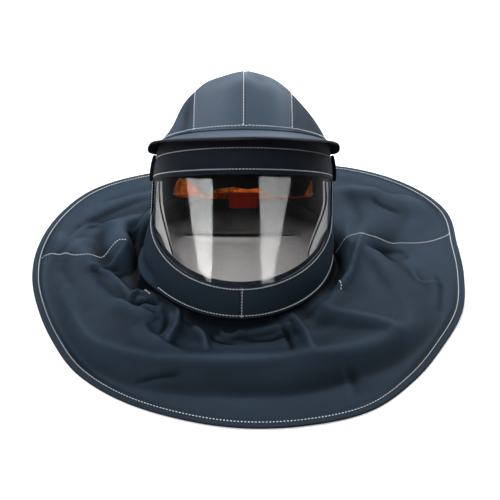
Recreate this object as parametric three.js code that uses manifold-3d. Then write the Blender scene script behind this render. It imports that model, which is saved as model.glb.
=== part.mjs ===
// Sandblasting hood set down on a table: crown, eave, curved window, chin band, lining and a wide draped cape.
// Millimetres, +Z up, the window faces -Y. The origin is under the middle of the cape, on the table.
import * as THREE from "three";
import { mergeVertices } from "three/addons/utils/BufferGeometryUtils.js";
import Module from "manifold-3d";

// Driving dimensions
const capeWidth = 664;
const capeLength = 676;
const hoodHeight = 365;
const chinHalfWidth = 136;
const chinFrontDepth = 158;
const chinBackDepth = 146;
const chinFlare = 13;
const headOffsetX = -12.5;
const headOffsetY = -3.6;
const headLean = 0.029;
const crownRise = 90;
const crownSeamLeft = 70;
const crownSeamRight = 63;
const clothWall = 2.2;
const hemWall = 3.4;
const hemDepth = 11;
const eaveWall = 3;
const eaveDroop = 12;
const windowWall = 1.4;
const windowTuck = 8;
const weltWidth = 6;
const bindingWall = 2;
const liningWall = 1.5;
const collarTuck = 9;
const collarDip = 1.5;
const neckHalfWidth = 86;
const neckHalfLength = 37;
const bandWall = 2.4;
const bandHeight = 30;
const bandHalfWidth = 96;
const bandHalfLength = 100;
const strapWidth = 24;
const strapWall = 2;
const strapLeanIn = 0.25;
const strapDrop = 6.6;
const padWall = 7;
const padDrop = 14;
const padHalfAngle = 14;
const seamGap = 0.3;

// Where pieces start and stop round the head, in degrees from the front
const sideAzimuth = 100;
const bindingHalfAngle = 4;
const eaveAzimuth = 112;

const round = Math.PI / 180;
const lerp = (a, b, t) => a + (b - a) * t;
const clamp01 = (t) => Math.min(1, Math.max(0, t));
const smooth = (t) => clamp01(t) ** 2 * (3 - 2 * clamp01(t));

// Rings of the head from the bottom up: widths and depths as shares of the chin ring's, heights of hoodHeight
const ringColumns = ["width", "front", "back", "frontZ", "sideZ", "backZ"];
const ringTable = [
  [1.0, 1.0, 1.0, 0.12, 0.12, 0.12], // chin ring
  [0.952, 0.93, 1.0, 0.247, 0.315, 0.2], // lower edge of the window
  [0.93, 0.848, 0.96, 0.718, 0.466, 0.3], // upper edge of the window
  [0.871, 0.804, 0.925, 0.877, 0.619, 0.392], // crown seam
];
const eaveEdgeRow = [1.015, 0.955, 1.02, 0.877, 0.623, 0.4];
const crownSeamLevel = ringTable.length - 1;

// One row between two rings, as an object with named columns
function ringAt(level) {
  const low = Math.min(crownSeamLevel - 1, Math.max(0, Math.floor(level)));
  const share = level - low;
  return Object.fromEntries(
    ringColumns.map((name, i) => [name, lerp(ringTable[low][i], ringTable[low + 1][i], share)]),
  );
}

// A point of a ring: an ellipse in plan, its front and back halves of their own depth, its height linear in y
function ringPoint(ring, azimuth, flare = 0) {
  const s = Math.sin(azimuth * round);
  const c = Math.cos(azimuth * round);
  const halfWidth = ring.width * chinHalfWidth;
  const depth = c >= 0 ? ring.front * chinFrontDepth : ring.back * chinBackDepth;
  const radius = 1 / Math.hypot(s / halfWidth, c / depth) + flare;
  const endZ = c >= 0 ? ring.frontZ : ring.backZ;
  const z = hoodHeight * lerp(ring.sideZ, endZ, Math.abs((radius * c) / depth));
  return new THREE.Vector3(headOffsetX + headLean * z + radius * s, headOffsetY - radius * c, z);
}

// The chin band flares on one side only, most at 75 degrees left of the front
function flareAt(azimuth, level) {
  return chinFlare * Math.exp(-(((azimuth + 75) / 26) ** 2)) * clamp01(1 - level);
}

function headPoint(azimuth, level) {
  return ringPoint(ringAt(level), azimuth, flareAt(azimuth, level));
}

// Outward normal of any surface point(azimuth, v) by central differences
function normalOf(point, azimuth, v, dv = 0.01) {
  const along = point(azimuth + 0.5, v).sub(point(azimuth - 0.5, v));
  const up = point(azimuth, v + dv).sub(point(azimuth, v - dv));
  return along.cross(up).normalize();
}

// Plane of the crown seam: it falls towards the back, and its normal is the direction in which the crown rises
const seamFront = ringPoint(ringAt(crownSeamLevel), 0);
const seamBack = ringPoint(ringAt(crownSeamLevel), 180);
const crownUp = new THREE.Vector3(0, seamFront.z - seamBack.z, seamBack.y - seamFront.y).normalize();

const crownLift = eaveWall + 2 * seamGap;

// Closed solid between two grids of points of the same size; closed joins the last column to the first
function gridSolid(outer, inner, closed = false) {
  const rows = outer.length;
  const columns = outer[0].length;
  const positions = [...outer.flat(), ...inner.flat()].flatMap((p) => p.toArray());
  const at = (side, row, column) => side * rows * columns + row * columns + (column % columns);
  const index = [];
  const quad = (a, b, c, d) => index.push(a, b, c, a, c, d);
  const lastColumn = closed ? columns : columns - 1;
  for (let row = 0; row < rows - 1; row++) {
    for (let column = 0; column < lastColumn; column++) {
      quad(at(0, row, column), at(0, row, column + 1), at(0, row + 1, column + 1), at(0, row + 1, column));
      quad(at(1, row, column), at(1, row + 1, column), at(1, row + 1, column + 1), at(1, row, column + 1));
    }
  }
  for (let column = 0; column < lastColumn; column++) {
    quad(at(1, 0, column), at(1, 0, column + 1), at(0, 0, column + 1), at(0, 0, column));
    const top = rows - 1;
    quad(at(0, top, column), at(0, top, column + 1), at(1, top, column + 1), at(1, top, column));
  }
  if (!closed) {
    for (let row = 0; row < rows - 1; row++) {
      quad(at(1, row, 0), at(0, row, 0), at(0, row + 1, 0), at(1, row + 1, 0));
      const end = columns - 1;
      quad(at(0, row, end), at(1, row, end), at(1, row + 1, end), at(0, row + 1, end));
    }
  }
  const geometry = new THREE.BufferGeometry();
  geometry.setAttribute("position", new THREE.Float32BufferAttribute(positions, 3));
  geometry.setIndex(index);
  return geometry;
}

const spread = (from, to, steps) => Array.from({ length: steps + 1 }, (_, i) => lerp(from, to, i / steps));

// Wall of cloth on a surface: a patch between two azimuths and two levels, from offset inside to offset outside
function wallPatch(point, azimuths, levels, inside, outside) {
  const shell = (offset) =>
    levels.map((level) =>
      azimuths.map((azimuth) => point(azimuth, level).addScaledVector(normalOf(point, azimuth, level), offset)),
    );
  return gridSolid(shell(outside), shell(inside));
}

// Crown: paths run from the seam ring to the crown's top point; heights are shares of crownRise
const crownTopShare = 0.37; // of the way from front to back along the seam plane
const crownProfile = {
  front: [[0, 0], [0.09, 0.38], [0.18, 0.68], [0.29, 0.85], [0.41, 0.93], [0.54, 0.965], [0.8, 0.985], [1, 0.975]],
  left: [[0, 0], [0.13, 0.21], [0.24, 0.51], [0.38, 0.7], [0.44, 0.79], [0.5, 0.85], [0.71, 0.93], [1, 0.975]],
  right: [[0, 0], [0.1, 0.21], [0.15, 0.29], [0.26, 0.39], [0.41, 0.62], [0.53, 0.79], [0.68, 0.87], [1, 0.975]],
  back: [[0, 0], [0.1, 0.22], [0.25, 0.48], [0.42, 0.7], [0.6, 0.85], [0.8, 0.94], [1, 0.975]],
};

function heightOn(profile, share) {
  const next = Math.max(1, profile.findIndex(([at]) => at >= share - 1e-9));
  const [x0, y0] = profile[next - 1];
  const [x1, y1] = profile[next];
  return lerp(y0, y1, (share - x0) / (x1 - x0));
}

const crownTop = seamFront.clone().lerp(seamBack, crownTopShare);

function crownPoint(azimuth, share) {
  const base = ringPoint(ringAt(crownSeamLevel), azimuth).addScaledVector(crownUp, crownLift);
  const baseRise = base.clone().sub(seamBack).dot(crownUp);
  const side = Math.sin(azimuth * round);
  const facing = Math.cos(azimuth * round);
  const sideProfile = side < 0 ? crownProfile.left : crownProfile.right;
  const endProfile = facing > 0 ? crownProfile.front : crownProfile.back;
  const sideWeight = side * side;
  const rise = lerp(heightOn(endProfile, share), heightOn(sideProfile, share), sideWeight);
  const flat = base.clone().addScaledVector(crownUp, -baseRise);
  const top = crownTop.clone().addScaledVector(crownUp, -crownTop.clone().sub(seamBack).dot(crownUp));
  const lean = new THREE.Vector3(headLean * crownRise * rise * crownUp.z, 0, 0);
  return flat.lerp(top, share).addScaledVector(crownUp, lerp(baseRise, crownRise, rise)).add(lean);
}

// Dome with a hole-free top: rows from the seam to the top point, then the same rows back inside
function crownSolid() {
  const azimuths = spread(0, 360, 40).slice(0, -1);
  const shares = [0, 0.08, 0.17, 0.27, 0.38, 0.5, 0.68, 0.86];
  const outer = [];
  const inner = [];
  for (const share of shares) {
    const inwards = (azimuth) => {
      const normal = normalOf(crownPoint, azimuth, Math.max(share, 0.02), 0.015).negate();
      return share > 0 ? normal : normal.projectOnPlane(crownUp).normalize();
    };
    outer.push(azimuths.map((azimuth) => crownPoint(azimuth, share)));
    inner.push(
      azimuths.map((azimuth) => crownPoint(azimuth, share).addScaledVector(inwards(azimuth), clothWall)),
    );
  }
  const columns = azimuths.length;
  const topOuter = crownPoint(0, 1);
  const topInner = topOuter.clone().addScaledVector(crownUp, -clothWall);
  const positions = [...outer.flat(), ...inner.flat(), topOuter, topInner].flatMap((p) => p.toArray());
  const at = (side, row, column) => (side * shares.length + row) * columns + (column % columns);
  const index = [];
  const quad = (a, b, c, d) => index.push(a, b, c, a, c, d);
  const last = shares.length - 1;
  for (let column = 0; column < columns; column++) {
    for (let row = 0; row < last; row++) {
      quad(at(0, row, column), at(0, row, column + 1), at(0, row + 1, column + 1), at(0, row + 1, column));
      quad(at(1, row, column), at(1, row + 1, column), at(1, row + 1, column + 1), at(1, row, column + 1));
    }
    quad(at(1, 0, column), at(1, 0, column + 1), at(0, 0, column + 1), at(0, 0, column));
    index.push(at(0, last, column), at(0, last, column + 1), 2 * shares.length * columns);
    index.push(at(1, last, column + 1), at(1, last, column), 2 * shares.length * columns + 1);
  }
  const geometry = new THREE.BufferGeometry();
  geometry.setAttribute("position", new THREE.Float32BufferAttribute(positions, 3));
  geometry.setIndex(index);
  return geometry;
}

const wasm = await Module();
wasm.setup();

function toManifold(geometry) {
  const bare = new THREE.BufferGeometry();
  bare.setAttribute("position", geometry.getAttribute("position"));
  bare.setIndex(geometry.getIndex());
  const merged = mergeVertices(bare, 1e-4);
  const vertProperties = new Float32Array(merged.getAttribute("position").array);
  const triVerts = new Uint32Array(merged.getIndex().array);
  return new wasm.Manifold(new wasm.Mesh({ numProp: 3, vertProperties, triVerts }));
}

function fromManifold(solid) {
  const mesh = solid.getMesh();
  const geometry = new THREE.BufferGeometry();
  geometry.setAttribute("position", new THREE.Float32BufferAttribute(mesh.vertProperties, mesh.numProp));
  geometry.setIndex(Array.from(mesh.triVerts));
  return geometry;
}

// The part of a solid between two x values
function sliceX(solid, fromX, toX) {
  const reach = 2 * capeWidth;
  const box = new THREE.BoxGeometry(toX - fromX, reach, reach);
  box.deleteAttribute("normal");
  box.deleteAttribute("uv");
  box.translate((fromX + toX) / 2, 0, 0);
  return fromManifold(solid.intersect(toManifold(box)));
}

// Cape outline: distance from the head's axis as a share of half the cape's width, every 15 degrees from the back
const hemTable = [
  1.025, 1.02, 1.063, 1.084, 1.048, 1.003, 0.96, 0.93, 0.93, 0.957, 0.972, 0.984,
  1.008, 1.03, 1.05, 1.022, 1.004, 1.02, 1.03, 1.076, 1.18, 1.195, 1.15, 1.068,
];
const hemStep = 360 / hemTable.length;

// Drape of the cape, every 15 degrees from the back; heights are shares of crestRise, places of the way to the hem
const crestRise = 32;
const drapeColumns = ["dip", "plateau", "crestAt", "crest", "footAt", "foot", "lift"];
const drapeTable = [
  [1.44, 1.44, 0.4, 1.06, 0.8, 0.22, 0.0], // back
  [1.44, 1.44, 0.4, 1.12, 0.8, 0.22, 0.0],
  [1.56, 1.62, 0.35, 1.31, 0.75, 0.38, 0.03],
  [1.62, 1.75, 0.3, 1.38, 0.75, 0.44, 0.06],
  [1.69, 1.75, 0.28, 1.19, 0.75, 0.38, 0.06],
  [1.41, 1.41, 0.35, 0.94, 0.8, 0.38, 0.03],
  [0.5, 0.69, 0.6, 0.69, 0.88, 0.28, 0.03], // left
  [0.62, 0.88, 0.6, 0.75, 0.92, 0.25, 0.06],
  [0.75, 0.88, 0.72, 0.75, 0.93, 0.22, 0.03],
  [0.62, 0.81, 0.74, 0.88, 0.93, 0.19, 0.0],
  [0.5, 0.75, 0.62, 0.94, 0.86, 0.19, 0.0],
  [0.44, 0.72, 0.5, 0.97, 0.76, 0.19, 0.0],
  [0.44, 0.75, 0.42, 0.97, 0.7, 0.19, 0.0], // front
  [0.44, 0.78, 0.46, 0.97, 0.7, 0.19, 0.0],
  [0.5, 0.78, 0.49, 1.0, 0.72, 0.22, 0.0],
  [0.62, 0.81, 0.62, 1.03, 0.84, 0.25, 0.03],
  [0.81, 0.94, 0.7, 0.88, 0.9, 0.25, 0.06],
  [1.06, 1.19, 0.45, 0.94, 0.85, 0.31, 0.09],
  [1.19, 1.44, 0.3, 1.38, 0.62, 0.38, 0.12], // right
  [1.25, 1.56, 0.22, 1.5, 0.52, 0.31, 0.03],
  [1.41, 1.56, 0.35, 1.25, 0.7, 0.44, 0.0],
  [1.5, 1.62, 0.4, 1.38, 0.8, 0.38, 0.0],
  [1.5, 1.56, 0.4, 1.25, 0.8, 0.31, 0.03],
  [1.5, 1.5, 0.4, 1.12, 0.8, 0.25, 0.03],
];

// Folds: three points each as azimuth and share of the way to the hem, height as a share of crestRise,
// widths towards the neck side and the hem side as shares of half the cape's width
const foldColumns = ["a0", "s0", "a1", "s1", "a2", "s2", "height", "inner", "outer"];
const foldTable = [
  [54, 0.66, 49, 0.35, 42, 0.02, 0.3, 0.09, 0.05], // B, front right, running in to the chin
  [17, 0.0, 29, 0.14, 24, 0.42, 0.25, 0.05, 0.05], // C, short one under the chin
  [-46, 0.03, -32, 0.12, -29, 0.4, 0.3, 0.05, 0.045], // D, under the chin on the left
  [-44, 0.38, -34, 0.44, -22, 0.46, 0.2, 0.04, 0.035],
  [-61, 0.34, -53, 0.28, -40, 0.22, 0.45, 0.035, 0.045], // E, lower lip of the rolled pleat
  [-62, 0.26, -54, 0.22, -44, 0.16, -0.4, 0.03, 0.03],
  [-110, 1.0, -100, 0.66, -88, 0.42, 0.5, 0.07, 0.075], // F, outer left
  [-86, 0.38, -73, 0.2, -58, 0.3, 0.42, 0.045, 0.045],
  [-114, 0.52, -100, 0.42, -90, 0.26, -0.45, 0.05, 0.05],
  [-126, 0.5, -106, 0.38, -99, 0.06, 0.65, 0.06, 0.06],
  [-98, 0.14, -86, 0.18, -70, 0.06, -0.45, 0.05, 0.05], // pocket beside the chin
  [102, 0.26, 80, 0.12, 62, 0.12, 0.32, 0.05, 0.05], // right, below the shoulder seam
  [98, 0.36, 100, 0.46, 103, 0.6, -0.25, 0.06, 0.06],
  [140, 0.3, 131, 0.55, 121, 0.92, 0.45, 0.07, 0.06],
  [-136, 0.2, -126, 0.44, -117, 0.72, -0.5, 0.05, 0.055],
  [-144, 0.3, -134, 0.5, -126, 0.74, 0.3, 0.07, 0.06],
  [31, 0.62, 31, 0.78, 29, 0.92, -0.16, 0.03, 0.04],
];

// Catmull-Rom value of a table column that goes round once from the back
function roundTable(values, azimuth) {
  const place = (azimuth + 180) / hemStep;
  const low = Math.floor(place);
  const t = place - low;
  const n = values.length;
  const [a, b, c, d] = [-1, 0, 1, 2].map((k) => values[(((low + k) % n) + n) % n]);
  return b + 0.5 * t * (c - a + t * (2 * a - 5 * b + 4 * c - d + t * (3 * (b - c) + d - a)));
}

const drapeAt = (azimuth) =>
  Object.fromEntries(
    drapeColumns.map((name, i) => [name, roundTable(drapeTable.map((row) => row[i]), azimuth)]),
  );

const collarBottom = ringTable[0][3] * hoodHeight;
const neckX = headOffsetX + headLean * collarBottom;

// Radius of the inner face of the collar at a height above the chin ring
const neckRadius = (azimuth, height = 0) => {
  const p = headPoint(azimuth, height / (headPoint(azimuth, 1).z - collarBottom));
  return Math.hypot(p.x - neckX, p.y - headOffsetY) - 2 * seamGap - clothWall;
};

// Plan point of the cape at a share of the way from neck to hem; the hem's shares are scaled to the named size
const hemRaw = (azimuth) => {
  const radius = (roundTable(hemTable, azimuth) * capeWidth) / 2;
  return [neckX + radius * Math.sin(azimuth * round), headOffsetY - radius * Math.cos(azimuth * round)];
};
const hemBox = (() => {
  const ring = spread(-180, 180, 720).map(hemRaw);
  const span = (k) => [Math.min(...ring.map((p) => p[k])), Math.max(...ring.map((p) => p[k]))];
  return [span(0), span(1)];
})();
const hemPlan = (azimuth) =>
  hemRaw(azimuth).map((value, k) => {
    const [low, high] = hemBox[k];
    const size = k === 0 ? capeWidth : capeLength;
    return ((value - (low + high) / 2) * size) / (high - low);
  });
const capePlan = (azimuth, share) => {
  const neck = neckRadius(azimuth);
  const [hx, hy] = hemPlan(azimuth);
  const nx = neckX + neck * Math.sin(azimuth * round);
  const ny = headOffsetY - neck * Math.cos(azimuth * round);
  return [lerp(nx, hx, share), lerp(ny, hy, share)];
};

// Each fold as a bowed line of plan points
const foldLines = foldTable.map((row) => {
  const fold = Object.fromEntries(foldColumns.map((name, i) => [name, row[i]]));
  const ends = [capePlan(fold.a0, fold.s0), capePlan(fold.a1, fold.s1), capePlan(fold.a2, fold.s2)];
  const curve = new THREE.SplineCurve(ends.map(([x, y]) => new THREE.Vector2(x, y)));
  return { ...fold, points: curve.getPoints(24) };
});

// Height that the folds add: a bell across each fold, narrower on one side, fading at its ends
function foldRise(x, y) {
  let rise = 0;
  for (const fold of foldLines) {
    let best = Infinity;
    let at = 0;
    fold.points.forEach((p, i) => {
      const d = Math.hypot(p.x - x, p.y - y);
      if (d < best) [best, at] = [d, i];
    });
    const p = fold.points[at];
    const outward = Math.hypot(x - neckX, y - headOffsetY) > Math.hypot(p.x - neckX, p.y - headOffsetY);
    const width = ((outward ? fold.outer : fold.inner) * capeWidth) / 2;
    const along = at / (fold.points.length - 1);
    const taper = Math.sqrt(Math.max(0, Math.sin(Math.PI * lerp(0.08, 0.92, along))));
    rise += fold.height * crestRise * taper * Math.exp(-((best / width) ** 2));
  }
  return rise;
}

// Smooth rise through knots of place and height, flat at each knot that is a top or a dip
function throughKnots(knots, share) {
  const next = Math.max(1, knots.findIndex(([at]) => at >= share));
  const [x0, z0] = knots[next - 1];
  const [x1, z1] = knots[next];
  return lerp(z0, z1, smooth((share - x0) / (x1 - x0)));
}

const hemShare = (azimuth) => {
  const [hx, hy] = hemPlan(azimuth);
  const [nx, ny] = capePlan(azimuth, 0);
  return 1 - hemDepth / Math.hypot(hx - nx, hy - ny);
};

// Middle surface of the cape
function capePoint(azimuth, share) {
  const [x, y] = capePlan(azimuth, share);
  const drape = drapeAt(azimuth);
  const lift = hemWall / 2 + Math.max(0, drape.lift) * crestRise;
  const knots = [
    [0, collarBottom - 4 * collarDip],
    [0.09, drape.dip * crestRise],
    [0.5 * drape.crestAt + 0.045, drape.plateau * crestRise],
    [drape.crestAt, drape.crest * crestRise],
    [drape.footAt, drape.foot * crestRise],
    [1, lift],
  ];
  const hemStart = hemShare(azimuth);
  const free = smooth(share / 0.08) * (1 - smooth((share - 0.8) / (hemStart - 0.8)));
  const z = throughKnots(knots, share) + foldRise(x, y) * free;
  const flat = smooth((share - 0.9) / (hemStart - 0.9));
  const floor = lift + 0.5 * (1 - flat);
  return new THREE.Vector3(x, y, Math.max(floor, lerp(z, lift, flat)));
}

const capeShares = [0.035, 0.08, 0.13, 0.19, 0.25, 0.31, 0.37, 0.43, 0.49, 0.56, 0.63, 0.7, 0.77, 0.84, 0.9];

// Half of the cape between two shoulder seams, with its collar that stands up inside the chin band
function capeSolid(fromAzimuth, toAzimuth, steps) {
  const upper = [];
  const lower = [];
  const seamShift = (from, to, radius) => (Math.sign(to - from) * seamGap * 0.5) / (radius * round);
  const azimuthAt = (i, radius) => {
    const start = fromAzimuth + seamShift(fromAzimuth, toAzimuth, radius);
    const end = toAzimuth - seamShift(fromAzimuth, toAzimuth, radius);
    return lerp(start, end, i / steps);
  };
  const columns = spread(0, steps, steps);
  for (const height of [collarTuck, -collarDip]) {
    const ring = (offset) =>
      columns.map((i) => {
        const azimuth = azimuthAt(i, chinHalfWidth);
        const radius = neckRadius(azimuth, Math.max(0, height)) + offset;
        const x = neckX + radius * Math.sin(azimuth * round);
        return new THREE.Vector3(x, headOffsetY - radius * Math.cos(azimuth * round), collarBottom + height);
      });
    upper.push(ring(clothWall - seamGap));
    lower.push(ring(-seamGap));
  }
  for (const share of capeShares) {
    const row = columns.map((i) => {
      const azimuth = azimuthAt(i, lerp(chinHalfWidth, capeWidth / 2, share));
      const p = capePoint(azimuth, share);
      const n = normalOf(capePoint, azimuth, share);
      if (n.z < 0) n.negate();
      if (i === 0 || i === steps) {
        const across = new THREE.Vector3(Math.cos(azimuth * round), Math.sin(azimuth * round), 0);
        n.addScaledVector(across, -n.dot(across)).normalize();
      }
      return [p, n];
    });
    upper.push(row.map(([p, n]) => p.clone().addScaledVector(n, clothWall / 2)));
    lower.push(row.map(([p, n]) => p.clone().addScaledVector(n, -clothWall / 2)));
  }
  for (const hem of [0, 1]) {
    const row = columns.map((i) => {
      const azimuth = azimuthAt(i, capeWidth / 2);
      return capePoint(azimuth, hem ? 1 : hemShare(azimuth));
    });
    upper.push(row.map((p) => p.clone().add(new THREE.Vector3(0, 0, hemWall / 2))));
    lower.push(row.map((p) => p.clone().add(new THREE.Vector3(0, 0, -hemWall / 2))));
  }
  return gridSolid(lower, upper);
}

const group = new THREE.Group();

function addPiece(name, geometry, look) {
  const mesh = new THREE.Mesh(geometry, new THREE.MeshStandardMaterial(look));
  mesh.name = name;
  group.add(mesh);
}

const cloth = { color: 0x36424f, roughness: 0.62, metalness: 0 };
const crownCloth = { color: 0x566372, roughness: 0.58, metalness: 0 };
const darkCloth = { color: 0x1a2029, roughness: 0.6, metalness: 0 };
const clearSheet = { color: 0xdfe3e6, roughness: 0.05, metalness: 0, transparent: true, opacity: 0.25 };
const blackTrim = { color: 0x0b0c0f, roughness: 0.45, metalness: 0 };
const greyLining = { color: 0x8a8482, roughness: 0.9, metalness: 0 };
const orangePad = { color: 0xa04a1c, roughness: 0.8, metalness: 0 };
const darkPad = { color: 0x3a0d0a, roughness: 0.85, metalness: 0 };

// Crown in four panels
const crown = toManifold(crownSolid());
const crownX = headOffsetX + headLean * hoodHeight * 0.93;
const seams = [-capeWidth, -crownSeamLeft, 0, crownSeamRight, capeWidth];
["crown_side_left", "crown_top_left", "crown_top_right", "crown_side_right"].forEach((name, i) => {
  const panel = sliceX(crown, crownX + seams[i] + seamGap / 2, crownX + seams[i + 1] - seamGap / 2);
  addPiece(name, panel, crownCloth);
});

// Eave: from the crown seam out to its own edge, its two ends hanging down
const eaveEdge = Object.fromEntries(ringColumns.map((name, i) => [name, eaveEdgeRow[i]]));
function eavePoint(azimuth, share) {
  const start = headPoint(azimuth, crownSeamLevel);
  const inwards = new THREE.Vector3(-Math.sin(azimuth * round), Math.cos(azimuth * round), 0);
  start.add(inwards.clone().projectOnPlane(crownUp).setLength(clothWall));
  const edge = ringPoint(eaveEdge, azimuth);
  const droop = eaveDroop * smooth((Math.abs(azimuth) - 88) / (eaveAzimuth - 88)) * share ** 2;
  const tuckIn = 10 * smooth((Math.abs(azimuth) - 100) / (eaveAzimuth - 100)) * share;
  return start.lerp(edge, share).addScaledVector(crownUp, seamGap).add(new THREE.Vector3(0, 0, -droop))
    .addScaledVector(inwards, tuckIn);
}
{
  const azimuths = spread(-eaveAzimuth, eaveAzimuth, 32);
  const shares = [0, 0.12, 0.45, 0.8, 1];
  const under = shares.map((share) => azimuths.map((azimuth) => eavePoint(azimuth, share)));
  const over = under.map((row) => row.map((p) => p.clone().addScaledVector(crownUp, eaveWall)));
  addPiece("eave", gridSolid(under, over), cloth);
}

// Window, with its edges tucked behind the cloth bands
const windowHeight = (ringTable[2][3] - ringTable[1][3]) * hoodHeight;
const tuckLevel = windowTuck / windowHeight;
const sideAngles = spread(-sideAzimuth, sideAzimuth, 32);
addPiece(
  "window",
  wallPatch(headPoint, sideAngles, [1 - 4 * tuckLevel, 1, 2, 2 + 2 * tuckLevel], -seamGap - windowWall, -seamGap),
  clearSheet,
);

// Black welt inside the window's lower edge
const weltLevel = weltWidth / windowHeight;
addPiece(
  "window_welt",
  wallPatch(
    headPoint,
    spread(-sideAzimuth + 4, sideAzimuth - 4, 30),
    [1 - weltLevel, 1, 1 + weltLevel],
    -3 * seamGap - windowWall - bindingWall,
    -3 * seamGap - windowWall,
  ),
  blackTrim,
);

// Brow band
const browHeight = (ringTable[3][3] - ringTable[2][3]) * hoodHeight;
const underEave = crownSeamLevel - (6 * seamGap) / browHeight;
addPiece("brow_band", wallPatch(headPoint, sideAngles, [2, 2.5, underEave], 0, clothWall), darkCloth);

// Chin band in two halves that meet at the front seam
const seamAngle = (seamGap * 0.5) / (chinFrontDepth * round);
[["chin_band_left", -sideAzimuth, -seamAngle], ["chin_band_right", seamAngle, sideAzimuth]].forEach(
  ([name, from, to]) =>
    addPiece(name, wallPatch(headPoint, spread(from, to, 16), [0, 0.35, 0.7, 1], 0, clothWall), cloth),
);

// Back panel, from side to side round the back, up to the crown
const sideGapAngle = seamGap / (chinHalfWidth * round);
const backAngles = spread(sideAzimuth + sideGapAngle, 360 - sideAzimuth - sideGapAngle, 24);
{
  const levels = [0, 0.5, 1, 1.5, 2, 2.5];
  const shell = (offset) => {
    const rows = levels.map((level) =>
      backAngles.map((a) => headPoint(a, level).addScaledVector(normalOf(headPoint, a, level), offset)),
    );
    rows.push(
      backAngles.map((a) => {
        const clearOfEave = smooth((180 - eaveAzimuth - 4 - Math.abs(a - 180)) / 8);
        const top = headPoint(a, lerp(underEave, crownSeamLevel, clearOfEave));
        top.addScaledVector(crownUp, (crownLift - 2 * seamGap) * clearOfEave);
        return top.addScaledVector(normalOf(headPoint, a, crownSeamLevel - 0.02), offset);
      }),
    );
    return rows;
  };
  addPiece("back_panel", gridSolid(shell(clothWall), shell(0)), cloth);
}

// Bindings over the joints between window and back panel
[-1, 1].forEach((side) => {
  const middle = side * sideAzimuth;
  const angles = spread(middle - bindingHalfAngle, middle + bindingHalfAngle, 3);
  const levels = [0.85, 1.2, 1.6, 2, 2.5, 2.97];
  const inside = clothWall + seamGap;
  addPiece(
    side < 0 ? "side_binding_left" : "side_binding_right",
    wallPatch(headPoint, angles, levels, inside, inside + bindingWall),
    blackTrim,
  );
});

// Cape
const shoulderLeft = -99;
const shoulderRight = 105;
addPiece("cape_front", capeSolid(shoulderLeft, shoulderRight, 34), cloth);
addPiece("cape_back", capeSolid(shoulderRight, 360 + shoulderLeft, 26), cloth);

// Neck seal: a grey cloth floor inside the hood, with the hole for the neck
const sealLevel = 0.55;
const holeY = headOffsetY + 10;
const holeFrontZ = 0.255 * hoodHeight;
const holeBackZ = 0.14 * hoodHeight;
function sealPoint(azimuth, share) {
  const rim = headPoint(azimuth, sealLevel);
  const s = Math.sin(azimuth * round);
  const c = Math.cos(azimuth * round);
  const out = new THREE.Vector3(s, -c, 0);
  rim.addScaledVector(out, -3 * seamGap - liningWall);
  const hole = new THREE.Vector3(
    headOffsetX + neckHalfWidth * s,
    holeY - neckHalfLength * c,
    lerp(holeBackZ, holeFrontZ, (1 + c) / 2),
  );
  return hole.lerp(rim, share);
}
{
  const azimuths = spread(-180, 180, 36).slice(0, -1);
  const top = [0, 0.1, 0.5, 1].map((share) => azimuths.map((azimuth) => sealPoint(azimuth, share)));
  const bottom = top.map((row) => row.map((p) => p.clone().setZ(p.z - liningWall)));
  addPiece("neck_seal", gridSolid(bottom, top, true), greyLining);
}

// Lining of the back half above the neck seal
addPiece(
  "lining",
  wallPatch(headPoint, backAngles, [sealLevel + 0.12, 1, 1.5], -seamGap - liningWall, -seamGap),
  greyLining,
);

// Head harness: a tilted band with a nape pad, hung from the crown by one strap
const bandTilt = new THREE.Vector3(0, -crownUp.z, crownUp.y);
const bandCentre = new THREE.Vector3(crownX - 4, headOffsetY - 8, 0.463 * hoodHeight);
function bandPoint(azimuth, height) {
  return bandCentre
    .clone()
    .add(new THREE.Vector3(bandHalfWidth * Math.sin(azimuth * round), 0, 0))
    .addScaledVector(bandTilt, bandHalfLength * Math.cos(azimuth * round))
    .addScaledVector(crownUp, height);
}
function bandGrid(azimuths, heights, offset) {
  return heights.map((height) =>
    azimuths.map((azimuth) =>
      bandPoint(azimuth, height).addScaledVector(normalOf(bandPoint, azimuth, height, 1), offset),
    ),
  );
}
{
  const azimuths = spread(0, 360, 36).slice(0, -1);
  const heights = [-bandHeight / 2, bandHeight / 2];
  addPiece("headband", gridSolid(bandGrid(azimuths, heights, bandWall), bandGrid(azimuths, heights, 0), true), orangePad);
}
{
  const angles = spread(180 - padHalfAngle, 180 + padHalfAngle, 6);
  const heights = [-bandHeight / 2 - padDrop, 0, bandHeight / 2];
  addPiece(
    "nape_pad",
    gridSolid(bandGrid(angles, heights, -3 * seamGap), bandGrid(angles, heights, -3 * seamGap - padWall)),
    darkPad,
  );
}
{
  const top = crownPoint(0, 1).addScaledVector(crownUp, -clothWall - strapDrop - strapWall);
  const rise = top.clone().sub(bandCentre);
  const across = new THREE.Vector3(1, 0, 0).cross(rise).normalize();
  const reach = bandHalfWidth + bandWall + 4 * seamGap;
  const strapPoint = (angle, grow) => {
    const wide = (reach + grow) * Math.cos(angle * round) * (1 - strapLeanIn * Math.sin(angle * round) ** 2);
    const lift = rise.clone().multiplyScalar(Math.sin(angle * round));
    const raised = rise.clone().normalize().multiplyScalar(grow * Math.sin(angle * round));
    return bandCentre.clone().add(new THREE.Vector3(wide, 0, 0)).add(lift).add(raised);
  };
  const angles = spread(-4, 184, 24);
  const shell = (grow) =>
    [-strapWidth / 2, strapWidth / 2].map((shift) =>
      angles.map((angle) => strapPoint(angle, grow).addScaledVector(across, shift)),
    );
  addPiece("crown_strap", gridSolid(shell(strapWall), shell(0)), blackTrim);
}

export default group;
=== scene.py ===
# Sandblasting hood set down on a table: crown with an eave, curved clear window, chin band and a wide cape.
# Every surface is worked out in millimetres in the part's frame and becomes metres when its mesh is made.
import math

import bmesh
import bpy
import numpy as np

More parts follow.
